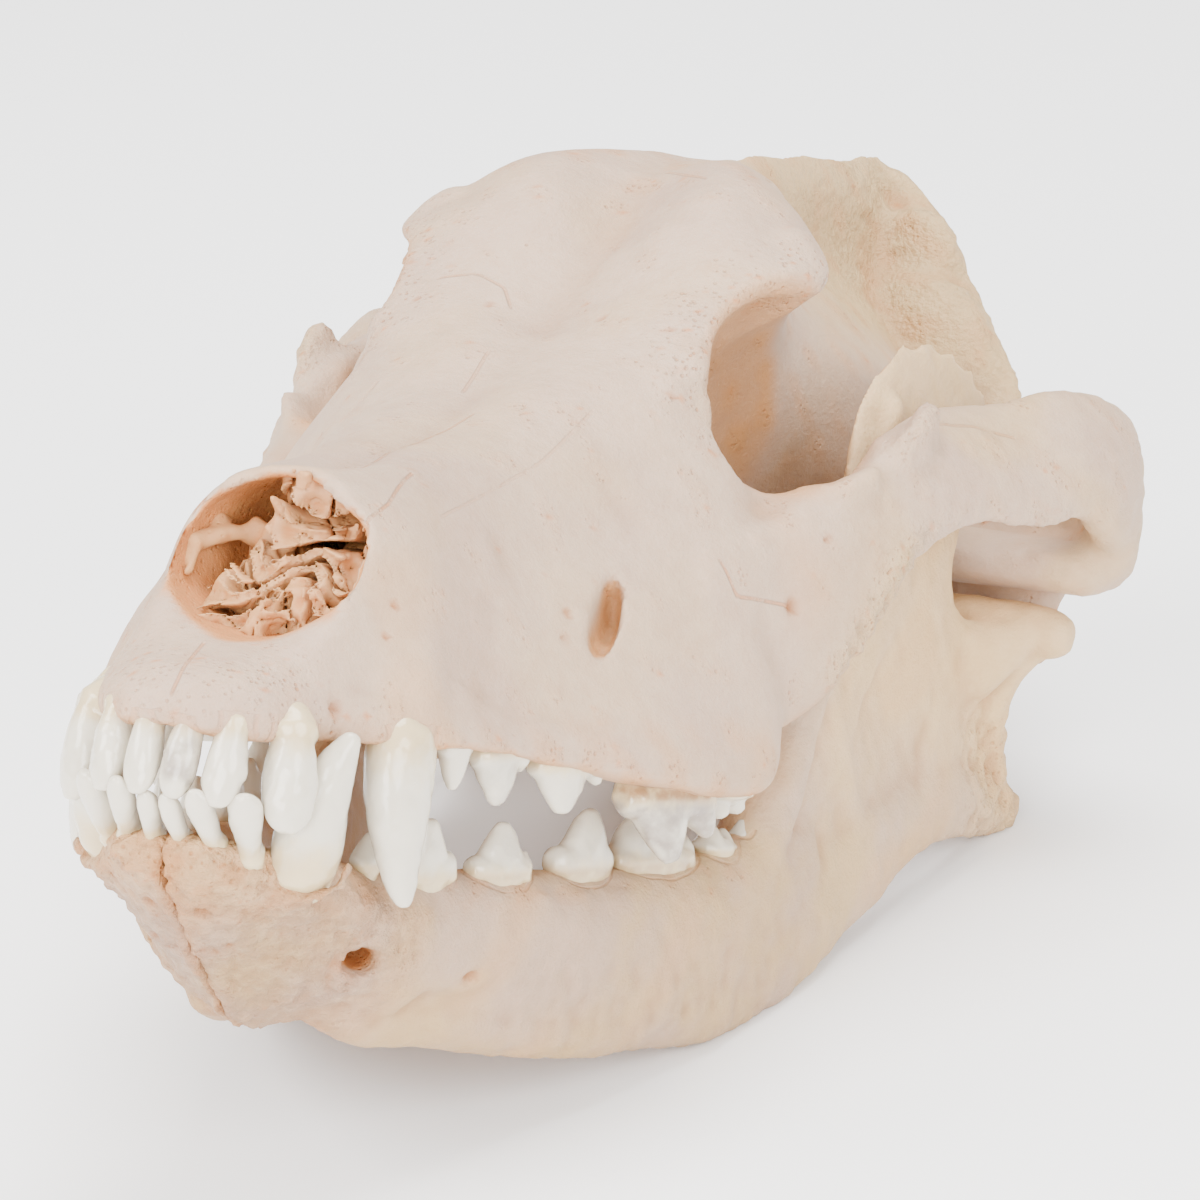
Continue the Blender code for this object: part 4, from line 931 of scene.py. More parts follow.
# The slanting hole for the nerve below each eye.
NERVE_SLIT = [(36.0, 73, 20.2), (33.3, 82, 20.0), (30.6, 92, 20.2)]

# The air passage of the nose: middle of its section, and half its width and height.
NOSE_PATH = [(0, 14, 26), (0, 22, 26), (0, 30, 26.5), (0, 38, 27.2), (0, 46, 27.4), (0, 62, 25)]
NOSE_HALVES = [(13.4, 11.2), (14.6, 11.6), (14.8, 11.5), (13.8, 11.2), (12.8, 10.6), (10, 8)]

# Lines over the left side of the cranium that stand up or lie in, each with its depth in millimetres
# (below 0 goes in) and its width.
CRANIUM_RIDGES = [
    # From the tip behind the orbit back to the crest.
    ([(36, 150, 73), (28, 159, 80), (19, 168, 86), (9, 179, 89), (3, 190, 91)], 1.0, 2.6),
    # The orbit's raised edge.
    ([(36, 148, 72), (31, 139, 70), (28.6, 130, 68), (28.6, 121, 63), (30, 120, 54), (31, 124, 46)], 0.9,
     2.2),
    ([(31, 124, 46), (35, 129, 40), (42, 135, 40), (48, 140, 43), (52, 142, 47)], 0.8, 2.2),
    # Edge where the cheek bone starts, from below the orbit to the tooth sockets.
    ([(33, 118, 40), (39, 113, 30), (44, 112, 18), (47, 114, 6)], 0.5, 3.0),
    # Over the canine's root, and beside it.
    ([(25, 33, 4), (23, 38, 14), (20, 48, 23)], 0.5, 4.0),
    ([(20, 23, 6), (18, 27, 14), (16.5, 32, 22)], -0.9, 3.2),
    ([(30, 47, 6), (27, 52, 14), (23, 60, 22)], -0.7, 4.5),
    # Hollow beside the nose, in front of the orbit.
    ([(21, 62, 28), (25, 84, 30), (28, 100, 38)], -1.1, 7.0),
    # Groove down the middle of the forehead and the nose.
    ([(0, 118, 59), (0, 134, 68), (0, 150, 80), (0, 162, 87)], -1.0, 7.0),
    ([(0, 36, 39), (0, 60, 41), (0, 84, 45), (0, 104, 52)], -0.5, 2.6),
    # Edges of the cheek arch.
    ([(56, 148, 50), (60, 164, 55.5), (67, 178, 57.5), (74, 193, 56), (77, 208, 46)], 0.6, 1.6),
    ([(52, 134, 14), (58, 145, 30), (64, 152, 36.5), (71, 166, 38), (73, 184, 36), (74, 204, 27)], 0.8,
     1.4),
    # Roots of the cheek teeth.
    ([(28, 41, 3), (27, 43, 10)], 0.5, 2.4),
    ([(29.6, 50, 1.5), (28, 51, 8)], 0.45, 2.2),
    ([(31.2, 58, 1), (29.6, 59, 8)], 0.45, 2.2),
    ([(33.4, 66, 0), (31, 67, 8)], 0.5, 2.5),
    ([(36, 76, -1), (33.5, 77, 7)], 0.5, 2.5),
    ([(41, 87, -4), (38.6, 88, 6)], 0.6, 2.8),
    ([(46, 99, -6), (43, 99, 5)], 0.6, 3.0),
]


# Seams between the bones on both sides, each with its strength: beside the nose's opening, along the nose,
# at the cheek bone and on the cheek arch.
CRANIUM_SEAMS = [
    ([(13.8, 31, 33.3), (14.3, 38, 36.1), (12.3, 44.8, 37.8), (10.8, 50.4, 38.9), (10.1, 54.7, 39.9)], 1.0),
    ([(17.6, 52, 34.5), (17.4, 68, 38), (18.6, 86, 43), (19, 102, 50)], 0.25),
    ([(41, 107.5, 29.3), (43.9, 109.6, 23.4), (45.5, 113.3, 23.2), (49, 121.6, 22.2)], 0.9),
    ([(54.7, 165.5, 51.7), (57.7, 173.3, 51.7), (62, 182, 50)], 0.6),
]
# Fine lines that aren't the same on both sides: the seam at the front of the upper jaw, the seam down the
# nose, a scratch on it, and lines on the brow.
CRANIUM_LINES = [
    ([(0.8, -2.2, 6.1), (0.5, 0.2, 8.3), (-0.6, 5.7, 10.9), (-2.1, 12.7, 13.5)], 0.8),
    ([(3.4, 40, 40), (2.2, 50, 40.4), (0.8, 65.6, 42), (1.4, 80.2, 44.8), (3.2, 91.7, 48.5)], 0.7),
    ([(-2.4, 99, 51.1), (-4, 111.4, 57)], 0.4),
    ([(-21.4, 126.7, 67.2), (-15.2, 129.4, 68.6), (-9.7, 128, 66.9), (-6.8, 124.9, 64.4)], 0.6),
    ([(2.2, 163.1, 88), (12.8, 154.4, 87.7)], 0.5),
]
CRANIUM_HOLES = [
    # Small holes for nerves and vessels: middle, radius and depth.
    ((49.2, 122.2, 22.1), 1.1, 1.8),
    ((50.5, 130, 32.9), 0.7, 0.9),
    ((9.9, 123.4, 64.4), 0.6, 0.7),
    ((19.2, 16.5, 6.4), 1.2, 1.7),
    ((20.2, 32.3, 21.8), 0.7, 0.7),
    ((20.8, 28.5, 17), 0.6, 0.7),
    ((29.8, 75.2, 20.1), 0.75, 1.0),
    ((30.8, 72.7, 16.4), 0.65, 0.9),
    ((22.5, 122.2, 63.7), 0.55, 0.7),
    ((26.6, 116.8, 57), 0.6, 0.8),
    ((27.5, 114, 53.6), 0.6, 0.8),
    ((50.2, 119.5, -1), 0.9, 1.2),
    ((19, 166, 88), 0.5, 1.0),
    ((11, 214, 70), 0.7, 1.2),
    ((24, 230, 50), 0.8, 1.4),
]


def sculpt_cranium(bone):
    fold = left_right(bone.points)
    x, y, z = fold.T
    heights = np.zeros(len(fold))
    for path, height, width in CRANIUM_RIDGES:
        gap, where = distance_to(fold, path)
        ends = step(where, 0, 0.12) * step(where, 1, 0.88)
        heights += height * spread(gap, width) * ends
    # The bone thins towards the rim of the nose.
    heights -= 0.7 * step(y, 42, 33) * step(z, 16, 24) * step(x, 10, 13)
    # The ledge over the third cheek tooth, and the spongy patch behind it.
    ledge, _ = distance_to(fold, CHEEK_TOOTH_LEDGE)
    below, _ = distance_to(fold, SPONGY_PATCH)
    heights += 0.7 * spread(ledge, 1.2) - 0.5 * spread(below, 1.2)
    # The crest and the back of the skull are drawn into fine ridges by the neck muscles.
    crest = step(y, 196, 222) * step(z, 58, 74)
    fins = step(y, 232, 250) * step(z, 30, 44)
    fans = np.sin((y * 0.8 - z * 1.15 + 2.2 * waves(fold, 22, 11)) * 2 * math.pi / 3.4)
    combs = np.sin((x * 1.1 + z * 0.9 + 2.0 * waves(fold, 18, 12)) * 2 * math.pi / 3.2)
    heights += 0.28 * fans * np.maximum(crest, 0) * step(waves(bone.points, 12, 13), -0.9, 0.6)
    heights += 0.22 * combs * fins * step(waves(bone.points, 12, 14), -0.9, 0.6)
    # The cheek arch is roughened where the chewing muscle pulls on it, most on its lower edge.
    arch = step(x, 50, 57) * step(y, 128, 140)
    low_edge, _ = distance_to(fold, ARCH_LOWER_EDGE)
    top_edge, _ = distance_to(fold, ARCH_UPPER_EDGE)
    rough_edges = np.maximum(spread(low_edge, 3.2), 0.8 * spread(top_edge, 2.6)) * step(x, 46, 52)
    heights += 0.42 * rough_edges * waves(bone.points, 2.6, 15) + 0.10 * arch * waves(bone.points, 3.4, 16)
    # Broad unevenness of every bone, with no two sides alike.
    heights += 0.20 * waves(bone.points, 24, 17) + 0.03 * waves(bone.points, 7, 18)
    bone.move(heights)
    holes = np.zeros(len(fold))
    dark = np.zeros(len(fold))
    for middle, radius, depth in CRANIUM_HOLES:
        gap = np.linalg.norm(fold - np.array(middle), axis=1)
        hole = spread(gap, radius)
        holes += hole * depth
        dark = np.maximum(dark, spread(gap, radius * 0.9))
    bone.move(-holes)
    return rough_edges, crest, fins, dark


def paint_cranium(bone, rough_edges, crest, fins, dark):
    fold = left_right(bone.points)
    x, y, z = fold.T
    slow = waves(bone.points, 30, 21)
    quick = waves(bone.points, 7, 22)
    fine = waves(bone.points, 2.2, 23)
    deep_shade = np.clip((bone.hollowness(40) - 0.5) / 1.6, 0, 1)
    to_axis = np.stack([-bone.points[:, 0], np.zeros(len(x)), 26 - z], 1)
    facing = (bone.normals * to_axis).sum(1) / np.maximum(np.linalg.norm(to_axis, axis=1), 1e-6)
    inside_nose = step(nose_room(fold), 3.0, 1.6) * step(y, 74, 66) * step(bone_depth_in_nose(fold), 0.0,
                                                                           1.4)
    inside_nose *= step(facing, -0.15, 0.25)
    orbit_gap, _ = distance_to(fold, ORBIT_AXIS)
    in_orbit = step(orbit_gap, 21, 16.5) * step(y, 118, 124) * (1 - step(x, 44, 52))
    hollow_gap, _ = distance_to(fold, CHEEK_HOLLOW)
    behind_cheek_shade = step(hollow_gap, 17, 11) * step(y, 116, 126)
    underside_shade = step(bone.normals[:, 2], -0.3, -0.8) * step(z, 30, 12)
    temple = step(y, 150, 168) * step(x, 44, 30) * step(z, 25, 50)
    # The tan of hollows, of the hollow behind the cheek and of faces turned down is painted shade.
    tan = 1.0 * inside_nose + 0.75 * in_orbit + 0.35 * behind_cheek_shade + 0.4 * underside_shade + 0.3 * deep_shade
    tan += 0.22 * step(slow, 0.3, 1.4) * (1 - step(y, 40, 60))
    # Painted shade inside the slanting nerve hole: tan where the surface lies below its surroundings.
    slit_gap, _ = distance_to(fold, NERVE_SLIT[1:])
    slit_shade = step(slit_gap, 9, 6.5) * np.clip(bone.hollowness(24) / 0.8, 0, 1)
    tan += 0.9 * slit_shade
    tan += 0.3 * step(z, 7, 0) * step(y, 130, 100) * step(quick, -0.6, 0.8)
    tan += 0.10 * step(quick, 0.8, 1.8) + 0.25 * temple * step(quick, -0.2, 1.2)
    cream = 0.75 * crest + 0.7 * fins + 0.5 * step(y, 175, 205) * step(z, 50, 66) + 0.35 * rough_edges
    cream += 0.4 * step(x, 50, 60) * step(slow, -0.6, 0.8) + 0.2 * step(slow, -0.2, 1.2)
    orange = 0.75 * dark
    # Pores of the rim above the orbit, of the upper jaw's front and beside the nose.
    rim_gap, _ = distance_to(fold, ORBIT_RIM)
    front_gap, _ = distance_to(fold, JAW_FRONT)
    porous = np.maximum(spread(rim_gap, 6.0), 0.8 * spread(front_gap, 5.0))
    porous = np.maximum(porous, 0.9 * rough_edges)
    socket_gap = z - np.interp(y, [0, 30, 50, 90, 110, 125], [3.4, 3.0, 1.4, -5.0, -6.0, -5.0])
    porous = np.maximum(porous, 0.7 * step(socket_gap, 5, 1) * step(x, 8, 20) * step(quick, -0.2, 1.0))
    porous = np.maximum(porous, 0.25 * inside_nose)
    porous += 0.5 * step(quick, 1.0, 1.7)
    specks = step(waves(bone.points, 1.5, 24, 24), 1.6, 2.3) * np.clip(porous * 1.6, 0, 1)
    orange = np.maximum(orange, 0.7 * specks)
    orange = np.maximum(orange, inside_nose * (0.60 + 0.15 * step(fine, 0.4, 1.4)))
    rough = 0.15 + 0.7 * rough_edges + 0.5 * crest + 0.5 * fins + 0.3 * porous
    # Painted shade: darker in small hollows outside the nose, and in the small holes.
    painted_shade = 0.3 * np.clip(bone.hollowness(8) / 0.28, 0, 1) * (1 - inside_nose) + 0.35 * dark
    side, strong = line_mask(bone, fold, CRANIUM_SEAMS)
    own_side, own_strong = line_mask(bone, bone.points, CRANIUM_LINES)
    own = np.abs(own_side) < np.abs(side)
    side[own] = own_side[own]
    strong[own] = own_strong[own]
    side, strong = neck_mask(fold, UPPER_TEETH, side, strong)
    bone.paint("tint", tan, cream, orange)
    bone.paint("grain", porous, rough, painted_shade)
    bone.draw_lines(side, strong)


def nose_room(points):
    """How far a point lies outside the air passage of the nose, in millimetres."""
    x, y, z = points.T
    line = [path[1] for path in NOSE_PATH]
    wide = np.interp(y, line, [half[0] for half in NOSE_HALVES])
    high = np.interp(y, line, [half[1] for half in NOSE_HALVES])
    middle = np.interp(y, line, [path[2] for path in NOSE_PATH])
    return (np.sqrt((x / wide) ** 2 + ((z - middle) / high) ** 2) - 1) * 12


def bone_depth_in_nose(points):
    """How far inside the nose's opening a point lies, in millimetres."""
    rim = np.interp(points[:, 2], [11, 15, 20, 28, 33, 38], [10, 17, 21, 26, 29.5, 33])
    return points[:, 1] - rim


def build_cranium():
    obj = clay_object("cranium_bone", cranium_clay())
    grain = sizes().cranium_grain
    fuse(obj, grain, 4)
    for shapes in cranium_cutters().values():
        cut(obj, shapes, CRANIUM_CUT_GRAIN)
    fuse(obj, grain, 3)
    bone = Surface(obj)
    found = sculpt_cranium(bone)
    paint_cranium(bone, *found)
    stand_up(obj)
    material = bone_material("cranium_bone_dry", colours().blush, colours().cream, CRANIUM_RELIEF)
    hand_over(obj, "cranium", ["cranium"], material)
    return obj


DENTARY_RIDGES = [
    # The front edge of the blade, running down to the body, and the ridge at the foot of its hollow.
    ([(42.4, 138, -20), (43.4, 144, -4), (44.6, 152, 16), (45.4, 160, 38), (45.4, 170, 58)], 0.9, 3.0),
    ([(45.6, 150, 12), (46, 158, -4), (46.6, 168, -16), (48.6, 190, -17), (50.6, 214, -13)], 0.8, 2.4),
    # The hollow for the chewing muscle on the outside of the blade.
    ([(47.6, 166, 8), (48.6, 178, 0), (49.6, 194, -4)], -1.5, 9.0),
    ([(45, 172, 40), (46, 186, 34)], -0.7, 11.0),
    # Roots under the cheek teeth and the groove below them.
    ([(20.6, 46, -22), (19.8, 46, -29)], 0.45, 2.2),
    ([(24.4, 53, -22.5), (23, 53, -30)], 0.45, 2.2),
    ([(29, 62, -23), (28, 62, -31)], 0.5, 2.4),
    ([(31.6, 72, -23), (30.6, 72, -31)], 0.5, 2.4),
    ([(35, 82, -23), (34, 82, -32)], 0.5, 2.6),
    ([(37, 92, -23), (36, 92, -32)], 0.5, 2.6),
    ([(28, 60, -33), (34, 82, -34), (40, 108, -33)], -0.5, 3.5),
]
DENTARY_HOLES = [
    ((17.6, 33.9, -34), 2.6, 0.3),
    ((27.2, 58.6, -36.7), 1.2, 1.6),
    ((4.5, 7.6, -26.2), 0.9, 1.3),
    ((1.4, 1.6, -21.2), 0.8, 0.9),
    ((6.3, 14.9, -31.7), 0.6, 0.8),
    ((3.9, 15.3, -32.8), 0.5, 0.7),
    ((2.2, 14.4, -32.4), 0.45, 0.6),
    ((29.8, 78, -24.5), 0.5, 0.6),
]


# Round the outer side of the lower canine's neck, and the larger hole at the side of the chin.
CANINE_LIP = [(12.6, 10, -21.7), (16.2, 13.4, -22.6), (19.6, 16.2, -21.9), (22, 18.6, -19.4)]
CHIN_HOLE = [(24, 33, -34.6), (19, 35, -34.2), (15, 40, -33.4)]
AMBER_SPOT = [(20.2, 14.8, -20.6), (20.8, 15.6, -20.2)]


def canine_lip():
    """The thin flaky shelf of bone that stands off round the outer side of the lower canine's neck."""
    path = [(9.6, 6, -20.9), *CANINE_LIP, (22.4, 19.6, -16.4)]
    size = [(0.8, 0.9), (1.2, 0.9), (1.6, 0.9), (1.6, 0.9), (1.2, 1.0), (0.7, 0.8)]
    return roll(path, size, pieces=24, sides=14)


def canine_root():
    """The swelling of bone over the lower canine's root, below its neck."""
    path = [(13.2, 13.6, -23.6), (15.6, 18.6, -24.6), (15.8, 23.5, -25.2), (15.0, 28.5, -26.0)]
    return roll(path, [(1.6, 1.4), (2.3, 2.0), (2.4, 2.0), (1.6, 1.4)], pieces=16, sides=14)


def sculpt_dentary(bone, side):
    fold = left_right(bone.points)
    x, y, z = fold.T
    heights = np.zeros(len(fold))
    outside = step(bone.normals[:, 0] * side, -0.2, 0.3)
    for path, height, width in DENTARY_RIDGES:
        gap, where = distance_to(fold, path)
        heights += height * spread(gap, width) * step(where, 0, 0.12) * step(where, 1, 0.88) * outside
    # Wrinkled, furrowed bone of the chin.
    chin = step(y, 52, 34) * step(bone.normals[:, 2], 0.6, 0.1)
    furrows = np.sin((z * 0.7 + y * 0.5 + 2.6 * waves(bone.points, 13, 31 + side)) * 2 * math.pi / 3.6)
    heights += chin * (0.18 * furrows + 0.14 * waves(bone.points, 2.4, 33 + side))
    lip, _ = distance_to(fold, CANINE_LIP)
    heights += 0.3 * spread(lip, 1.6) * waves(bone.points, 2.6, 35 + side)
    # Roots that swell the spongy bone below the front teeth.
    for kind in ("first_incisor", "second_incisor", "third_incisor"):
        neck, _, _, root, _ = LOWER_TEETH[kind]
        gap, _ = distance_to(fold, [np.array(neck), np.array(neck) + np.array(root) * 2.2])
        heights += 0.8 * spread(gap, 2.6)
    sockets = step(y, 22, 12) * step(z, -29, -19)
    heights += 0.16 * sockets * waves(bone.points, 1.9, 36 + side)
    under = step(z, -34, -41) * step(y, 60, 80)
    heights += 0.12 * under * waves(bone.points, 4, 37 + side)
    heights += 0.2 * waves(bone.points, 18, 39 + side) + 0.08 * waves(bone.points, 5, 41 + side)
    hook = step(y, 200, 216) * step(z, 8, -4)
    heights += 0.3 * hook * waves(bone.points, 3.0, 43 + side)
    bone.move(heights)
    holes = np.zeros(len(fold))
    dark = np.zeros(len(fold))
    for middle, radius, depth in DENTARY_HOLES:
        gap = np.linalg.norm((fold - np.array(middle)) * (0.8, 0.75, 1.15), axis=1)
        holes += depth * spread(gap, radius)
        dark = np.maximum(dark, spread(gap, radius))
    bone.move(-holes)
    bone.points[:, 2] = np.maximum(bone.points[:, 2], floor_line(bone.points[:, 1]) + 0.02)
    bone.write()
    return chin, lip, outside, dark, hook


def floor_line(y):
    """The floor's height in the skull's own frame, at each y in millimetres."""
    tip = sizes().nose_up
    return (-sizes().up / MM + y * math.sin(tip)) / math.cos(tip)


def paint_dentary(bone, side, chin, lip, outside, dark, hook):
    fold = left_right(bone.points)
    x, y, z = fold.T
    slow = waves(bone.points, 26, 51 + side)
    quick = waves(bone.points, 6, 53 + side)
    deep_shade = np.clip(bone.hollowness(30) / 1.0, 0, 1)
    front_sockets = step(y, 22, 12) * step(z, -31, -19)
    margin = step(z, -28, -21.5) * step(y, 130, 120)
    # The tan of hollows and of faces turned inward, away from the light, is painted shade.
    tan = 0.35 * front_sockets + 0.35 * margin * step(quick, -0.4, 1.0) + 0.4 * deep_shade + 0.35 * (1 - outside)
    tan += 0.25 * step(slow, 0.2, 1.4) + 0.1 * chin * step(quick, 0, 1.2)
    blade_part = step(y, 138, 160) * step(z, -20, 4)
    # The cream mask lays on the jaw's brighter yellow, which is painted light over the blade; it also covers
    # the front sockets, the hook and random patches.
    cream = 0.75 * blade_part + 0.55 * front_sockets + 0.45 * hook + 0.25 * step(slow, -0.4, 1.2)
    seam = spread(np.abs(x) - 0.2, 0.45) * step(y, 60, 50) * step(quick, -0.8, 0.6)
    porous = np.maximum(0.95 * front_sockets, 0.45 * chin * step(quick, -0.6, 0.6))
    porous = np.maximum(porous, 0.6 * margin * step(quick, -0.2, 1.0))
    porous = np.maximum(porous, 0.5 * hook)
    specks = step(waves(bone.points, 1.5, 55, 24), 1.7, 2.4) * np.clip(porous * 1.4, 0, 1)
    amber, _ = distance_to(fold, AMBER_SPOT)
    orange = np.maximum(0.6 * dark, np.maximum(0.15 * seam, 0.6 * specks))
    orange = np.maximum(orange, 0.6 * spread(amber, 0.9))
    rough = 0.15 + 0.6 * chin + 0.7 * front_sockets + 0.4 * hook + 0.5 * spread(lip, 2.0)
    body = step(y, 165, 140) * step(z, -6, -24)
    chin_shade_streaks = step(waves(bone.points * (1, 1, 2.2), 4.2, 57 + side), 0.9, -0.7)
    # Painted shade: darker in small hollows, over the lower body of the jaw, and most on the chin, which
    # faces down and forward, away from the light; on the chin it lies in uneven streaks and is lighter over
    # the front sockets. A faint dark line also follows the seam between the dentaries.
    painted_shade = 0.35 * np.clip(bone.hollowness(8) / 0.25, 0, 1) + 0.1 * seam + 0.44 * body * (1 - chin)
    painted_shade += chin * (1 - 0.45 * front_sockets) * (0.72 + 0.35 * chin_shade_streaks)
    # Inside the chin's larger hole the bone is painted tan and orange, more where it lies lower: painted
    # shade together with the hole's stain, in place of the grey painted shade.
    mouth, _ = distance_to(fold, CHIN_HOLE)
    in_hole = step(mouth, 6.2, 4.4) * np.clip(bone.hollowness(20) / 0.5, 0, 1)
    tan = np.maximum(tan, in_hole)
    orange = np.maximum(orange, 0.55 * in_hole)
    painted_shade *= 1 - 0.8 * in_hole
    bone.paint("tint", tan, cream, orange)
    bone.paint("grain", np.maximum(porous, in_hole), rough, painted_shade)
    side_of, strong = neck_mask(fold, LOWER_TEETH, np.full(len(fold), 9.0), np.zeros(len(fold)))
    bone.draw_lines(side_of, strong)


def build_dentary(side):
    """The left dentary for a side of 1, and the right one for -1."""
    name = "left_dentary" if side == 1 else "right_dentary"
    shapes = dentary_clay() + [canine_lip(), canine_root()]
    if side == -1:
        shapes = [mirrored(shape) for shape in shapes]
    obj = clay_object(name + "_bone", shapes)
    grain = sizes().jaw_grain
    fuse(obj, grain, 3)
    cut(obj, [other_half(side)], HALVING_GRAIN)
    for shapes in dentary_cutters().values():
        cut(obj, shapes if side == 1 else [mirrored(shape) for shape in shapes], JAW_CUT_GRAIN)
    fuse(obj, grain, 2)
    bone = Surface(obj)
    found = sculpt_dentary(bone, side)
    paint_dentary(bone, side, *found)
    stand_up(obj)
    cream = colours().cream
    # Painted light: the jaw's yellow is made brighter, most of all over the blade, which faces the light.
    lit_blade_cream = tuple(part * BLADE_PAINTED_LIGHT for part in cream)
    material = bone_material("jaw_bone_dry", cream, lit_blade_cream, JAW_RELIEF)
    hand_over(obj, "lower_jaw", [name], material)
    return obj


def other_half(side):
    """A block over the other dentary, whose face leaves half of the gap between the two."""
    edge = HALF_GAP_MM * side
    far = -70.0 * side
    corners = [(x, y, z) for x in (min(edge, far), max(edge, far)) for y in (-20, 260) for z in (-70, 90)]
    faces = [(0, 1, 3, 2), (4, 6, 7, 5), (0, 4, 5, 1), (2, 3, 7, 6), (0, 2, 6, 4), (1, 5, 7, 3)]
    return corners, faces


# Teeth of the left side. Each has the middle of its neck, half its length and half its width there, the
# direction of the tooth row in degrees from straight back, how its root runs from the neck into the bone,
# and its cusps. A cusp is its tip, how far its foot stands from the neck's middle along the row, and half
# its length and width.
UPPER_TEETH = {
    "first_incisor": ((3.2, 0.0, 3.2), (2.7, 2.9), 82, (-0.3, 3.6, 3.0),
                      [((2.9, -3.6, -8.5), 0, (2.7, 2.7))]),
    "second_incisor": ((9.2, 2.2, 3.4), (3.2, 3.2), 70, (-0.8, 3.6, 3.2),
                       [((9.5, -1.8, -9.0), 0.2, (3.0, 3.0)), ((12.3, 0.6, -4.8), -1.8, (1.6, 2.0))]),
    "third_incisor": ((15.8, 8.8, 2.8), (4.2, 4.0), 46, (-2.4, 3.4, 4.2),
                      [((18.0, 5.4, -11.9), 0, (4.1, 3.9))]),
    "canine": ((23.8, 31.0, 2.6), (6.2, 4.6), 8, (-3.2, 5.0, 7.4), [((27.4, 29.9, -23.6), 0, (6.5, 4.9))]),
    "first_premolar": ((27.6, 41.8, 2.4), (3.1, 2.6), 8, (-1.4, 0.4, 3.6),
                       [((28.2, 41.2, -6.2), 0, (3.3, 2.6))]),
    "second_premolar": ((29.8, 54.0, 0.6), (6.6, 2.9), 12, (-1.5, 0.0, 4.0),
                        [((31.0, 52.8, -8.8), -1.2, (5.4, 2.8)), ((31.6, 59.0, -3.6), 4.2, (2.4, 2.3))]),
    "third_premolar": ((34.0, 70.6, -1.2), (8.0, 3.2), 17, (-1.8, 0.0, 4.2),
                       [((35.2, 68.6, -10.4), -1.4, (6.2, 3.0)), ((37.2, 76.8, -5.8), 5.2, (2.8, 2.5))]),
    "fourth_premolar": ((42.2, 91.8, -6.2), (10.4, 4.4), 20, (-2.6, 0.0, 5.6),
                        [((45.6, 90.4, -18.0), -2.2, (6.4, 3.9)), ((47.4, 100.4, -14.0), 5.8, (4.6, 3.4)),
                         ((38.6, 83.4, -9.2), -7.4, (2.6, 2.8))]),
    "first_molar": ((42.6, 110.2, -7.0), (6.0, 7.0), 12, (-1.6, 0.0, 4.8),
                    [((47.0, 107.4, -11.4), -2.4, (3.4, 3.6)), ((47.4, 113.2, -10.8), 2.4, (3.2, 3.4)),
                     ((38.0, 110.6, -9.6), 0.6, (3.6, 3.4))]),
    "second_molar": ((38.8, 121.4, -6.2), (3.3, 4.4), 8, (-0.8, 0.0, 3.8),
                     [((41.0, 120.6, -9.8), -0.6, (2.2, 2.4)), ((36.8, 121.8, -8.8), 0.4, (2.2, 2.2))]),
}
LOWER_TEETH = {
    "first_incisor": ((2.4, 3.6, -15.4), (1.9, 2.4), 84, (0.2, 3.0, -2.6),
                      [((1.6, -3.2, -8.0), 0, (1.7, 2.0))]),
    "second_incisor": ((7.0, 4.8, -15.4), (2.2, 2.7), 74, (0.0, 3.2, -2.8),
                       [((6.3, -3.6, -6.6), 0, (2.1, 2.3))]),
    "third_incisor": ((11.2, 8.2, -16.4), (2.5, 3.0), 56, (-0.8, 3.2, -3.2),
                      [((13.2, -0.6, -6.6), 0, (2.6, 2.6))]),
    "canine": ((16.2, 16.6, -18.4), (6.0, 4.5), 24, (-3.2, 5.4, -7.0),
               [((22.8, 16.0, 3.2), 0, (5.8, 4.7))]),
    "first_premolar": ((18.8, 33.6, -19.0), (2.8, 2.3), 14, (-0.6, 0.6, -3.2),
                       [((19.2, 32.8, -13.4), 0, (2.8, 2.3))]),
    "second_premolar": ((22.4, 48.4, -20.8), (5.8, 2.6), 16, (-0.6, 0.0, -3.8),
                        [((23.0, 46.2, -11.4), -1.2, (4.9, 2.5)), ((23.8, 52.2, -16.8), 4.2, (2.0, 2.0))]),
    "third_premolar": ((26.6, 65.8, -21.6), (7.0, 2.9), 16, (-0.6, 0.0, -4.0),
                       [((26.6, 66.4, -12.8), 0.2, (5.8, 2.7)), ((28.4, 71.4, -17.4), 5.2, (2.0, 2.1))]),
    "fourth_premolar": ((31.0, 86.6, -21.6), (7.4, 3.3), 15, (-0.6, 0.0, -4.4),
                        [((31.8, 88.6, -11.0), 1.0, (6.0, 3.1)), ((32.8, 92.6, -16.4), 5.4, (2.1, 2.3))]),
    "first_molar": ((35.4, 107.0, -21.2), (11.0, 4.2), 13, (-0.6, 0.0, -5.2),
                    [((33.8, 100.2, -13.0), -5.8, (5.0, 3.4)), ((34.8, 107.4, -9.2), 0.8, (5.4, 3.8)),
                     ((36.8, 115.0, -16.0), 7.2, (3.2, 3.2))]),
    "second_molar": ((39.2, 124.2, -19.0), (4.3, 3.4), 11, (-0.4, 0.0, -3.8),
                     [((38.8, 122.6, -15.0), -1.4, (2.6, 3.0)), ((39.4, 126.2, -15.6), 1.6, (2.2, 2.6))]),
    "third_molar": ((40.4, 132.2, -17.2), (2.3, 2.2), 10, (-0.4, 0.0, -3.4),
                    [((40.4, 132.2, -14.4), 0, (2.2, 2.1))]),
}


def row_direction(degrees):
    """Where the tooth row runs at a tooth: 0 is straight back, and 90 across the skull, as at its front."""
    return np.array([math.sin(math.radians(degrees)), math.cos(math.radians(degrees)), 0.0])


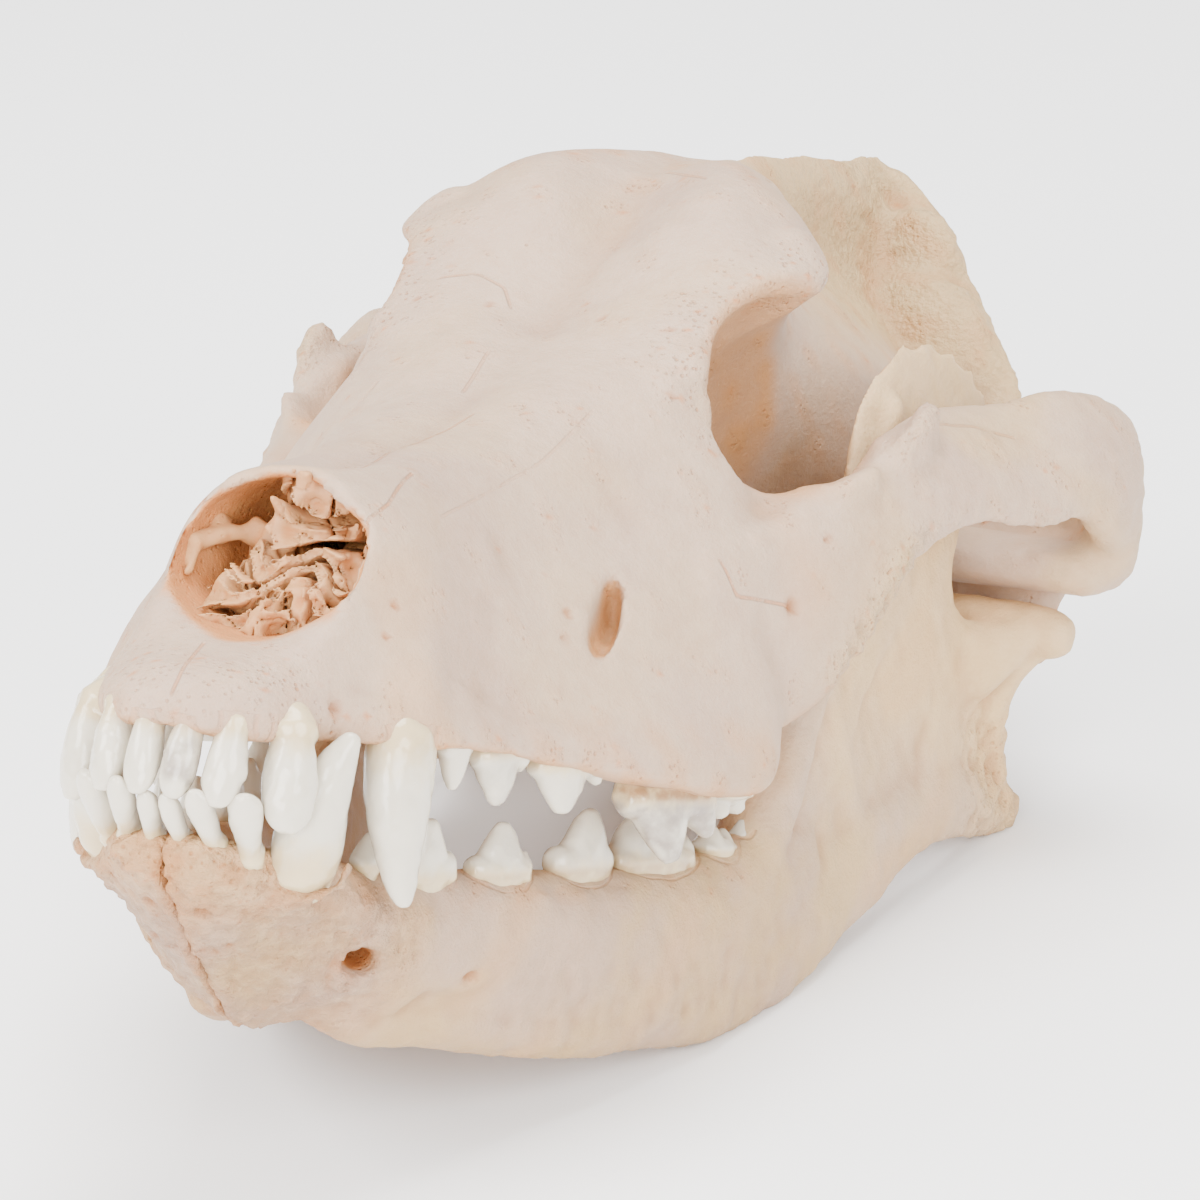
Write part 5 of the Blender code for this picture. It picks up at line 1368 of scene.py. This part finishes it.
# How a cusp swells and narrows from its foot to its tip: share of the way, share of its length along the
# row, share of its width across the row.
UPPER_INCISOR_CROWN = [(0, 0.70, 0.86), (0.15, 0.82, 0.98), (0.4, 1.0, 1.0), (0.65, 1.03, 0.86),
                       (0.84, 0.9, 0.62), (0.95, 0.62, 0.4)]
LOWER_INCISOR_CROWN = [(0, 0.62, 0.86), (0.2, 0.70, 0.94), (0.45, 0.88, 1.0), (0.7, 1.02, 0.86),
                       (0.88, 0.9, 0.6), (0.96, 0.6, 0.36)]
CANINE_CROWN = [(0, 0.94, 0.96), (0.12, 1.02, 1.02), (0.4, 0.92, 0.92), (0.65, 0.7, 0.72),
                (0.85, 0.47, 0.48), (0.96, 0.28, 0.3)]
CHEEK_CROWN = [(0, 1.06, 1.0), (0.25, 0.98, 0.98), (0.5, 0.8, 0.84), (0.75, 0.55, 0.6), (0.93, 0.34, 0.38)]
CANINE_BOW_MM = 1.8
# The large teeth have coarser faces, by this factor, and a chip has finer ones, in metres.
LARGE_TEETH = ("fourth_premolar", "first_molar", "canine")
LARGE_TOOTH_GRAIN = 1.3
CHIP_GRAIN = 0.0004

# Wear and stain of each tooth that isn't clean: grey, brown at the neck, yellow. The rest look plain.
PLAIN_LOOK = (0.05, 0.12, 0.25)
TOOTH_LOOKS = {
    "upper_left_first_incisor": (0.85, 0.35, 0.2),
    "upper_left_second_premolar": (0.45, 0.35, 0.3),
    "upper_left_third_premolar": (0.1, 0.2, 0.75),
    "upper_left_fourth_premolar": (1.9, 1.2, 0.6),
    "upper_left_first_molar": (0.15, 0.4, 0.8),
    "lower_left_third_premolar": (0.2, 0.35, 0.6),
    "lower_left_fourth_premolar": (0.35, 0.5, 0.4),
    "lower_left_first_molar": (0.4, 0.55, 0.4),
    "upper_right_fourth_premolar": (0.45, 0.7, 0.3),
}


# Where a tooth is broken: a ball taken out of it, by middle, radii and turn.
TOOTH_CHIPS = {
    "upper_left_first_incisor": ((6.4, -3.6, -6.4), (1.5, 3.0, 2.2), (0, 20, 0)),
    "upper_left_second_incisor": ((13.6, 0.4, -9.4), (2.0, 3.4, 3.0), (0, 0, 0)),
}


def is_canine(name):
    return name.endswith("canine")


def crown_profile(name, points_down):
    if is_canine(name):
        return CANINE_CROWN
    if name.endswith("incisor"):
        return UPPER_INCISOR_CROWN if points_down else LOWER_INCISOR_CROWN
    return CHEEK_CROWN


def cusp(foot, tip, size, run, profile, bow_mm):
    """One cusp, from its foot to its rounded tip, bowed forwards by bow_mm where it is long."""
    foot = np.asarray(foot, float)
    tip = np.asarray(tip, float)
    path = [foot + (tip - foot) * share - run * bow_mm * 4 * share * (1 - share) for share, _, _ in profile]
    widths = [(size[1] * across, size[0] * along) for _, along, across in profile]
    pieces = max(12, int(2 * np.linalg.norm(tip - foot)))
    return roll(path, widths, up=tuple(run), sides=22, pieces=pieces)


def tooth_clay(name, spec):
    """An oval root that narrows into the bone, the crown's swollen foot, and the cusps that stand on it."""
    neck, half, row, root, cusps = spec
    neck = np.asarray(neck, float)
    run = row_direction(row)
    path = [neck + np.array(root) * share for share in (-0.15, 0.25, 1.0)]
    widths = [(half[1] * share, half[0] * share) for share in (0.94, 0.84, 0.52)]
    shapes = [roll(path, widths, up=tuple(run), sides=20, pieces=10)]
    bow_mm = CANINE_BOW_MM if is_canine(name) else 0.0
    for tip, shift, size in cusps:
        profile = crown_profile(name, tip[2] < neck[2])
        shapes.append(cusp(neck + run * shift, tip, size, run, profile, bow_mm))
    if "molar" in name:
        # The crown's body between its cusps.
        middle = neck + (np.asarray(cusps[0][0]) - neck) * 0.3
        ends = [neck * 0.4 + middle * 0.6 + run * half[0] * share for share in (-0.8, 0, 0.8)]
        tall = abs(cusps[0][0][2] - neck[2]) * 0.26
        end_size = (half[1] * 0.8, tall)
        shapes.append(roll(ends, [end_size, (half[1] * 0.95, tall * 1.1), end_size], pieces=16))
    return shapes


def build_tooth(jaw, side_name, kind, spec):
    side = 1 if side_name == "left" else -1
    node = f"{jaw}_{side_name}_{kind}"
    shapes = tooth_clay(kind, spec)
    if side == -1:
        shapes = [mirrored(shape) for shape in shapes]
    obj = clay_object(node + "_crown", shapes)
    grain = sizes().tooth_grain * (LARGE_TOOTH_GRAIN if kind in LARGE_TEETH else 1.0)
    fuse(obj, grain, 5)
    if node in TOOTH_CHIPS:
        cut(obj, [ball(*TOOTH_CHIPS[node])], CHIP_GRAIN)
        fuse(obj, grain, 2)
    tooth = Surface(obj)
    neck = np.array(spec[0]) * (side, 1, 1)
    tips = np.array([tip for tip, _, _ in spec[-1]]) * (side, 1, 1)
    seed = sum(ord(letter) for letter in node)
    up = -1 if jaw == "upper" else 1
    tooth.move(0.06 * waves(tooth.points, 3.6, seed) + 0.015 * waves(tooth.points, 1.1, seed + 1))
    longest = np.abs(tips[:, 2] - neck[2]).max()
    height = (tooth.points[:, 2] - neck[2]) * up / longest
    grey, brown, yellow = TOOTH_LOOKS.get(node, PLAIN_LOOK)
    line = spread(height - 0.06, 0.11)
    grey_part = grey * step(height, 0.05, 0.4) * step(waves(tooth.points, 6, seed + 2), -1.6, 0.4)
    tooth.paint("crown", np.clip(height + 0.1 - 0.25 * (yellow - 0.25), 0, 1), grey_part, brown * line)
    stand_up(obj)
    body = "cranium" if jaw == "upper" else "lower_jaw"
    hand_over(obj, body, [node], enamel_material())
    return obj


# The smooth fold along the right wall of the nose, which runs on into the scrolls.
WALL_FOLD = [
    (-12.6, 33, 15.4), (-15.4, 31.0, 22.0), (-14.8, 32.5, 26.2), (-12.6, 37.4, 29.6), (-8.6, 39.0, 29.2),
    (-3, 40.4, 27.6),
]


# Lowest and highest corner of the room that the scrolls fill.
SCROLL_BOX = ((-17, 20, 10), (17, 62, 41))


def scroll_field(points):
    """Below 0 inside the folded scrolls of bone, in millimetres or so: layers laid one over the other,
    parted from side to side, with small pits."""
    x, y, z = points.T
    height = z + 2.4 * waves(points * (1, 0.35, 1), 13, 61, 8) - 0.16 * x
    layers = -0.30 - np.cos(height * 2 * math.pi / 5.2)
    across = x + 2.2 * waves(points, 12, 62, 8)
    parting = -0.93 - np.cos(across * 2 * math.pi / 9.0)
    curl = 0.18 - np.abs(waves(points, 5.5, 63, 10))
    scrolls = np.maximum(layers * 0.9, np.maximum(parting * 1.6, curl * 0.8))
    scrolls = np.maximum(scrolls, (waves(points, 1.9, 64, 20) - 1.75) * 0.5)
    # The near cluster starts further forward below than above, and leaves the right wall free.
    edge = np.interp(z, [15, 21, 26, 32], [-12.4, -9.8, -7.2, -4])
    front = 24.5 + 9.5 * step(z, 16, 31) + 1.3 * waves(points, 6,
                                                       65) + 1.2 * np.cos(height * 2 * math.pi / 5.2)
    front += 16.0 * step(x, edge + 1.5, edge - 3.0)
    field = np.maximum(scrolls, (front - y) * 0.6)
    gap, where = distance_to(points, WALL_FOLD)
    field = np.minimum(field, gap - (1.0 + 0.8 * where) + 0.45 * waves(points, 4, 66))
    return np.maximum(np.maximum(field, nose_room(points) - 1.6), (y - 58) * 0.6)


def surface_of(field, low, high, pitch):
    """A closed mesh round the places where a field lies below 0, one point a cell."""
    counts = [int((b - a) / pitch) + 1 for a, b in zip(low, high)]
    axes = [a + pitch * np.arange(n) for a, n in zip(low, counts)]
    grid = np.stack(np.meshgrid(*axes, indexing="ij"), -1).reshape(-1, 3)
    values = field(grid).reshape(counts)
    values[0], values[-1] = 1, 1
    values[:, 0], values[:, -1] = 1, 1
    values[:, :, 0], values[:, :, -1] = 1, 1
    inside = values < 0
    cells = tuple(n - 1 for n in counts)
    total = np.zeros((*cells, 3))
    crossings = np.zeros(cells)
    for axis in range(3):
        ahead = np.roll(values, -1, axis)
        crossed = inside != np.roll(inside, -1, axis)
        share = np.where(crossed, values / np.where(crossed, values - ahead, 1), 0)
        others = [a for a in range(3) if a != axis]
        for i in (0, 1):
            for j in (0, 1):
                cut_from = [slice(0, n) for n in cells]
                cut_from[others[0]] = slice(i, i + cells[others[0]])
                cut_from[others[1]] = slice(j, j + cells[others[1]])
                here = crossed[tuple(cut_from)]
                place = np.zeros((*cells, 3))
                place[..., axis] = share[tuple(cut_from)]
                place[..., others[0]] = i
                place[..., others[1]] = j
                total += place * here[..., None]
                crossings += here
    used = crossings > 0
    number = np.full(cells, -1)
    number[used] = np.arange(used.sum())
    corner = np.stack(np.nonzero(used), 1)
    points = np.array(low) + pitch * (corner + total[used] / crossings[used][:, None])
    faces = []
    for axis in range(3):
        b, c = [a for a in range(3) if a != axis]
        crossed = inside != np.roll(inside, -1, axis)
        where = np.stack(np.nonzero(crossed), 1)
        keep = (where > 0).all(1) & (where < np.array(cells)).all(1)
        where = where[keep]
        quad = []
        for i, j in ((0, 0), (1, 0), (1, 1), (0, 1)):
            cell = where.copy()
            cell[:, b] -= i
            cell[:, c] -= j
            quad.append(number[tuple(cell.T)])
        quad = np.stack(quad, 1)
        turn = inside[tuple(where.T)] == (axis == 1)
        quad[turn] = quad[turn][:, ::-1]
        faces.append(quad[(quad >= 0).all(1)])
    return points, np.concatenate(faces)


def build_scroll_bones():
    points, faces = surface_of(scroll_field, *SCROLL_BOX, SCROLL_CELL_MM)
    mesh = bpy.data.meshes.new("scroll_bones")
    mesh.from_pydata((points * MM).tolist(), [], faces.tolist())
    mesh.update()
    obj = bpy.data.objects.new("scroll_bones", mesh)
    bpy.context.scene.collection.objects.link(obj)
    select_only(obj)
    bpy.ops.object.mode_set(mode="EDIT")
    bpy.ops.mesh.select_all(action="SELECT")
    bpy.ops.mesh.normals_make_consistent(inside=False)
    bpy.ops.object.mode_set(mode="OBJECT")
    apply_modifier(obj, "SMOOTH", factor=0.5, iterations=2)
    bone = Surface(obj)
    x, y, z = bone.points.T
    quick = waves(bone.points, 2.4, 71)
    slow = waves(bone.points, 8, 72)
    depth = step(y, 34, 50)
    recess_shade = np.clip(bone.hollowness(14) / 0.5, 0, 1)
    # Painted shade: the scrolls are tanner and more orange in their hollows and further back inside the
    # nose.
    tan = 0.65 + 0.6 * recess_shade + 0.45 * depth + 0.2 * step(slow, 0, 1.4)
    cream = 0.8 * step(slow, 1.2, -0.8)
    orange = 0.24 + 0.35 * recess_shade + 0.35 * depth + 0.2 * step(quick, 0.8, 1.6)
    porous = 0.25 + 0.3 * step(quick, -0.2, 1.0)
    bone.paint("tint", tan, cream, orange)
    bone.paint("grain", porous, np.full(len(x), 0.4), np.zeros(len(x)))
    stand_up(obj)
    material = bone_material("scroll_bone_dry", colours().cream, colours().cream, SCROLL_RELIEF)
    hand_over(obj, "cranium", [], material)
    return obj


# Camera of the view, in the skull's own frame: rightwards, upwards and backwards directions, and the point
# that it looks at, in millimetres.
VIEW_RIGHT = (0.915, 0.389, 0.106)
VIEW_UP = (-0.129, 0.031, 0.991)
VIEW_BACK = (0.382, -0.921, 0.079)
VIEW_TARGET = (17.06, 120.0, 18.6)
VIEW_DISTANCE_MM = 1200.0
VIEW_LENS_MM = 222.3
SENSOR_MM = 36

FLOOR_SIZE = 8
PAPER_WHITE = (0.97, 0.97, 0.97)
AIR_COLOUR = (1.0, 0.99, 0.98, 1)
AIR_STRENGTH = 1.1


def paper_material():
    """White studio paper, faintly uneven."""
    made, tree, shader = new_material("studio_paper")
    place = add_node(tree, "ShaderNodeTexCoord").outputs["Object"]
    cloud = add_node(tree, "ShaderNodeTexNoise", links={"Vector": place, "Scale": 6.0}).outputs["Fac"]
    share = calculate(tree, "MULTIPLY", cloud, 0.08)
    shade = mix_colours(tree, share, PAPER_WHITE, tuple(part * 0.9 for part in PAPER_WHITE))
    tree.links.new(shade, shader.inputs["Base Color"])
    shader.inputs["Roughness"].default_value = 0.9
    return made


def build_floor():
    bpy.ops.object.select_all(action="DESELECT")
    bpy.ops.mesh.primitive_plane_add(size=FLOOR_SIZE)
    floor = bpy.context.object
    floor.name = "studio_floor"
    floor.data.materials.append(paper_material())


# Soft round lights: place and width in metres, and power in watts.
LIGHTS = {
    "soft_front": ((0.15, -1.15, 0.45), 0.7, 20),
    "soft_left": ((-0.85, -0.8, 0.85), 0.8, 26),
    "soft_right": ((1.1, -0.6, 0.65), 0.8, 20),
    "soft_above": ((0.1, 0.2, 1.35), 1.0, 36),
}
LIGHTS_AIM = (0, 0, 0.06)


def build_lights():
    for name, (place, width, watts) in LIGHTS.items():
        lamp = bpy.data.lights.new(name, "AREA")
        lamp.shape = "DISK"
        lamp.size = width
        lamp.energy = watts
        obj = bpy.data.objects.new(name, lamp)
        obj.location = place
        obj.rotation_euler = (Vector(LIGHTS_AIM) - Vector(place)).to_track_quat("-Z", "Y").to_euler()
        bpy.context.scene.collection.objects.link(obj)
    world = bpy.data.worlds.new("studio_air")
    bpy.context.scene.world = world
    world.use_nodes = True
    back = world.node_tree.nodes["Background"]
    back.inputs["Color"].default_value = AIR_COLOUR
    back.inputs["Strength"].default_value = AIR_STRENGTH


def build_camera():
    tip = Matrix.Rotation(-sizes().nose_up, 4, "X")
    placed = Matrix.Translation((0, sizes().back, sizes().up)) @ tip
    data = bpy.data.cameras.new("photo_view")
    data.lens = VIEW_LENS_MM
    data.sensor_width = SENSOR_MM
    data.clip_start = 0.05
    camera = bpy.data.objects.new("photo_view", data)
    right, up, back = [(tip @ Vector(v)).normalized() for v in (VIEW_RIGHT, VIEW_UP, VIEW_BACK)]
    spot = placed @ (Vector(VIEW_TARGET) * MM) + back * VIEW_DISTANCE_MM * MM
    rows = [(right[i], up[i], back[i], spot[i]) for i in range(3)]
    camera.matrix_world = Matrix((*rows, (0, 0, 0, 1)))
    bpy.context.scene.collection.objects.link(camera)
    bpy.context.scene.camera = camera


class SKULL_OT_cranium(bpy.types.Operator):
    """Model and finish the cranium"""

    bl_idname = "skull.cranium"
    bl_label = "Cranium"

    def execute(self, context):
        build_cranium()
        return {"FINISHED"}


class SKULL_OT_dentaries(bpy.types.Operator):
    """Model and finish the left and right dentaries of the lower jaw"""

    bl_idname = "skull.dentaries"
    bl_label = "Dentaries"

    def execute(self, context):
        for side in (1, -1):
            build_dentary(side)
        return {"FINISHED"}


class SKULL_OT_upper_teeth(bpy.types.Operator):
    """Model and finish the twenty upper teeth"""

    bl_idname = "skull.upper_teeth"
    bl_label = "Upper teeth"

    def execute(self, context):
        for side in ("left", "right"):
            for kind, spec in UPPER_TEETH.items():
                build_tooth("upper", side, kind, spec)
        return {"FINISHED"}


class SKULL_OT_lower_teeth(bpy.types.Operator):
    """Model and finish the twenty-two lower teeth"""

    bl_idname = "skull.lower_teeth"
    bl_label = "Lower teeth"

    def execute(self, context):
        for side in ("left", "right"):
            for kind, spec in LOWER_TEETH.items():
                build_tooth("lower", side, kind, spec)
        return {"FINISHED"}


class SKULL_OT_scroll_bones(bpy.types.Operator):
    """Model and finish the folded scroll bones inside the nose"""

    bl_idname = "skull.scroll_bones"
    bl_label = "Scroll bones"

    def execute(self, context):
        build_scroll_bones()
        return {"FINISHED"}


class SKULL_OT_stage(bpy.types.Operator):
    """Set the floor, the soft lights and the camera"""

    bl_idname = "skull.stage"
    bl_label = "Stage"

    def execute(self, context):
        build_floor()
        build_lights()
        build_camera()
        return {"FINISHED"}


class SKULL_PT_pieces(bpy.types.Panel):
    """The skull's sizes, colours and pieces"""

    bl_label = "Great Dane Skull"
    bl_idname = "SKULL_PT_pieces"
    bl_space_type = "VIEW_3D"
    bl_region_type = "UI"
    bl_category = "Skull"

    def draw(self, context):
        for settings in (context.scene.skull_sizes, context.scene.skull_colours):
            box = self.layout.box()
            for name in settings.bl_rna.properties.keys():
                if name not in ("rna_type", "name"):
                    box.prop(settings, name)
        for piece in OPERATORS:
            self.layout.operator(piece.bl_idname)


OPERATORS = (
    SKULL_OT_cranium,
    SKULL_OT_dentaries,
    SKULL_OT_upper_teeth,
    SKULL_OT_lower_teeth,
    SKULL_OT_scroll_bones,
    SKULL_OT_stage,
)
CLASSES = (SkullSizes, SkullColours, *OPERATORS, SKULL_PT_pieces)


def register():
    for made in CLASSES:
        bpy.utils.register_class(made)
    bpy.types.Scene.skull_sizes = bpy.props.PointerProperty(type=SkullSizes)
    bpy.types.Scene.skull_colours = bpy.props.PointerProperty(type=SkullColours)


def unregister():
    del bpy.types.Scene.skull_sizes
    del bpy.types.Scene.skull_colours
    for made in reversed(CLASSES):
        bpy.utils.unregister_class(made)


def main():
    register()
    bpy.ops.skull.cranium()
    bpy.ops.skull.dentaries()
    bpy.ops.skull.upper_teeth()
    bpy.ops.skull.lower_teeth()
    bpy.ops.skull.scroll_bones()
    bpy.ops.skull.stage()


if __name__ == "__main__":
    main()
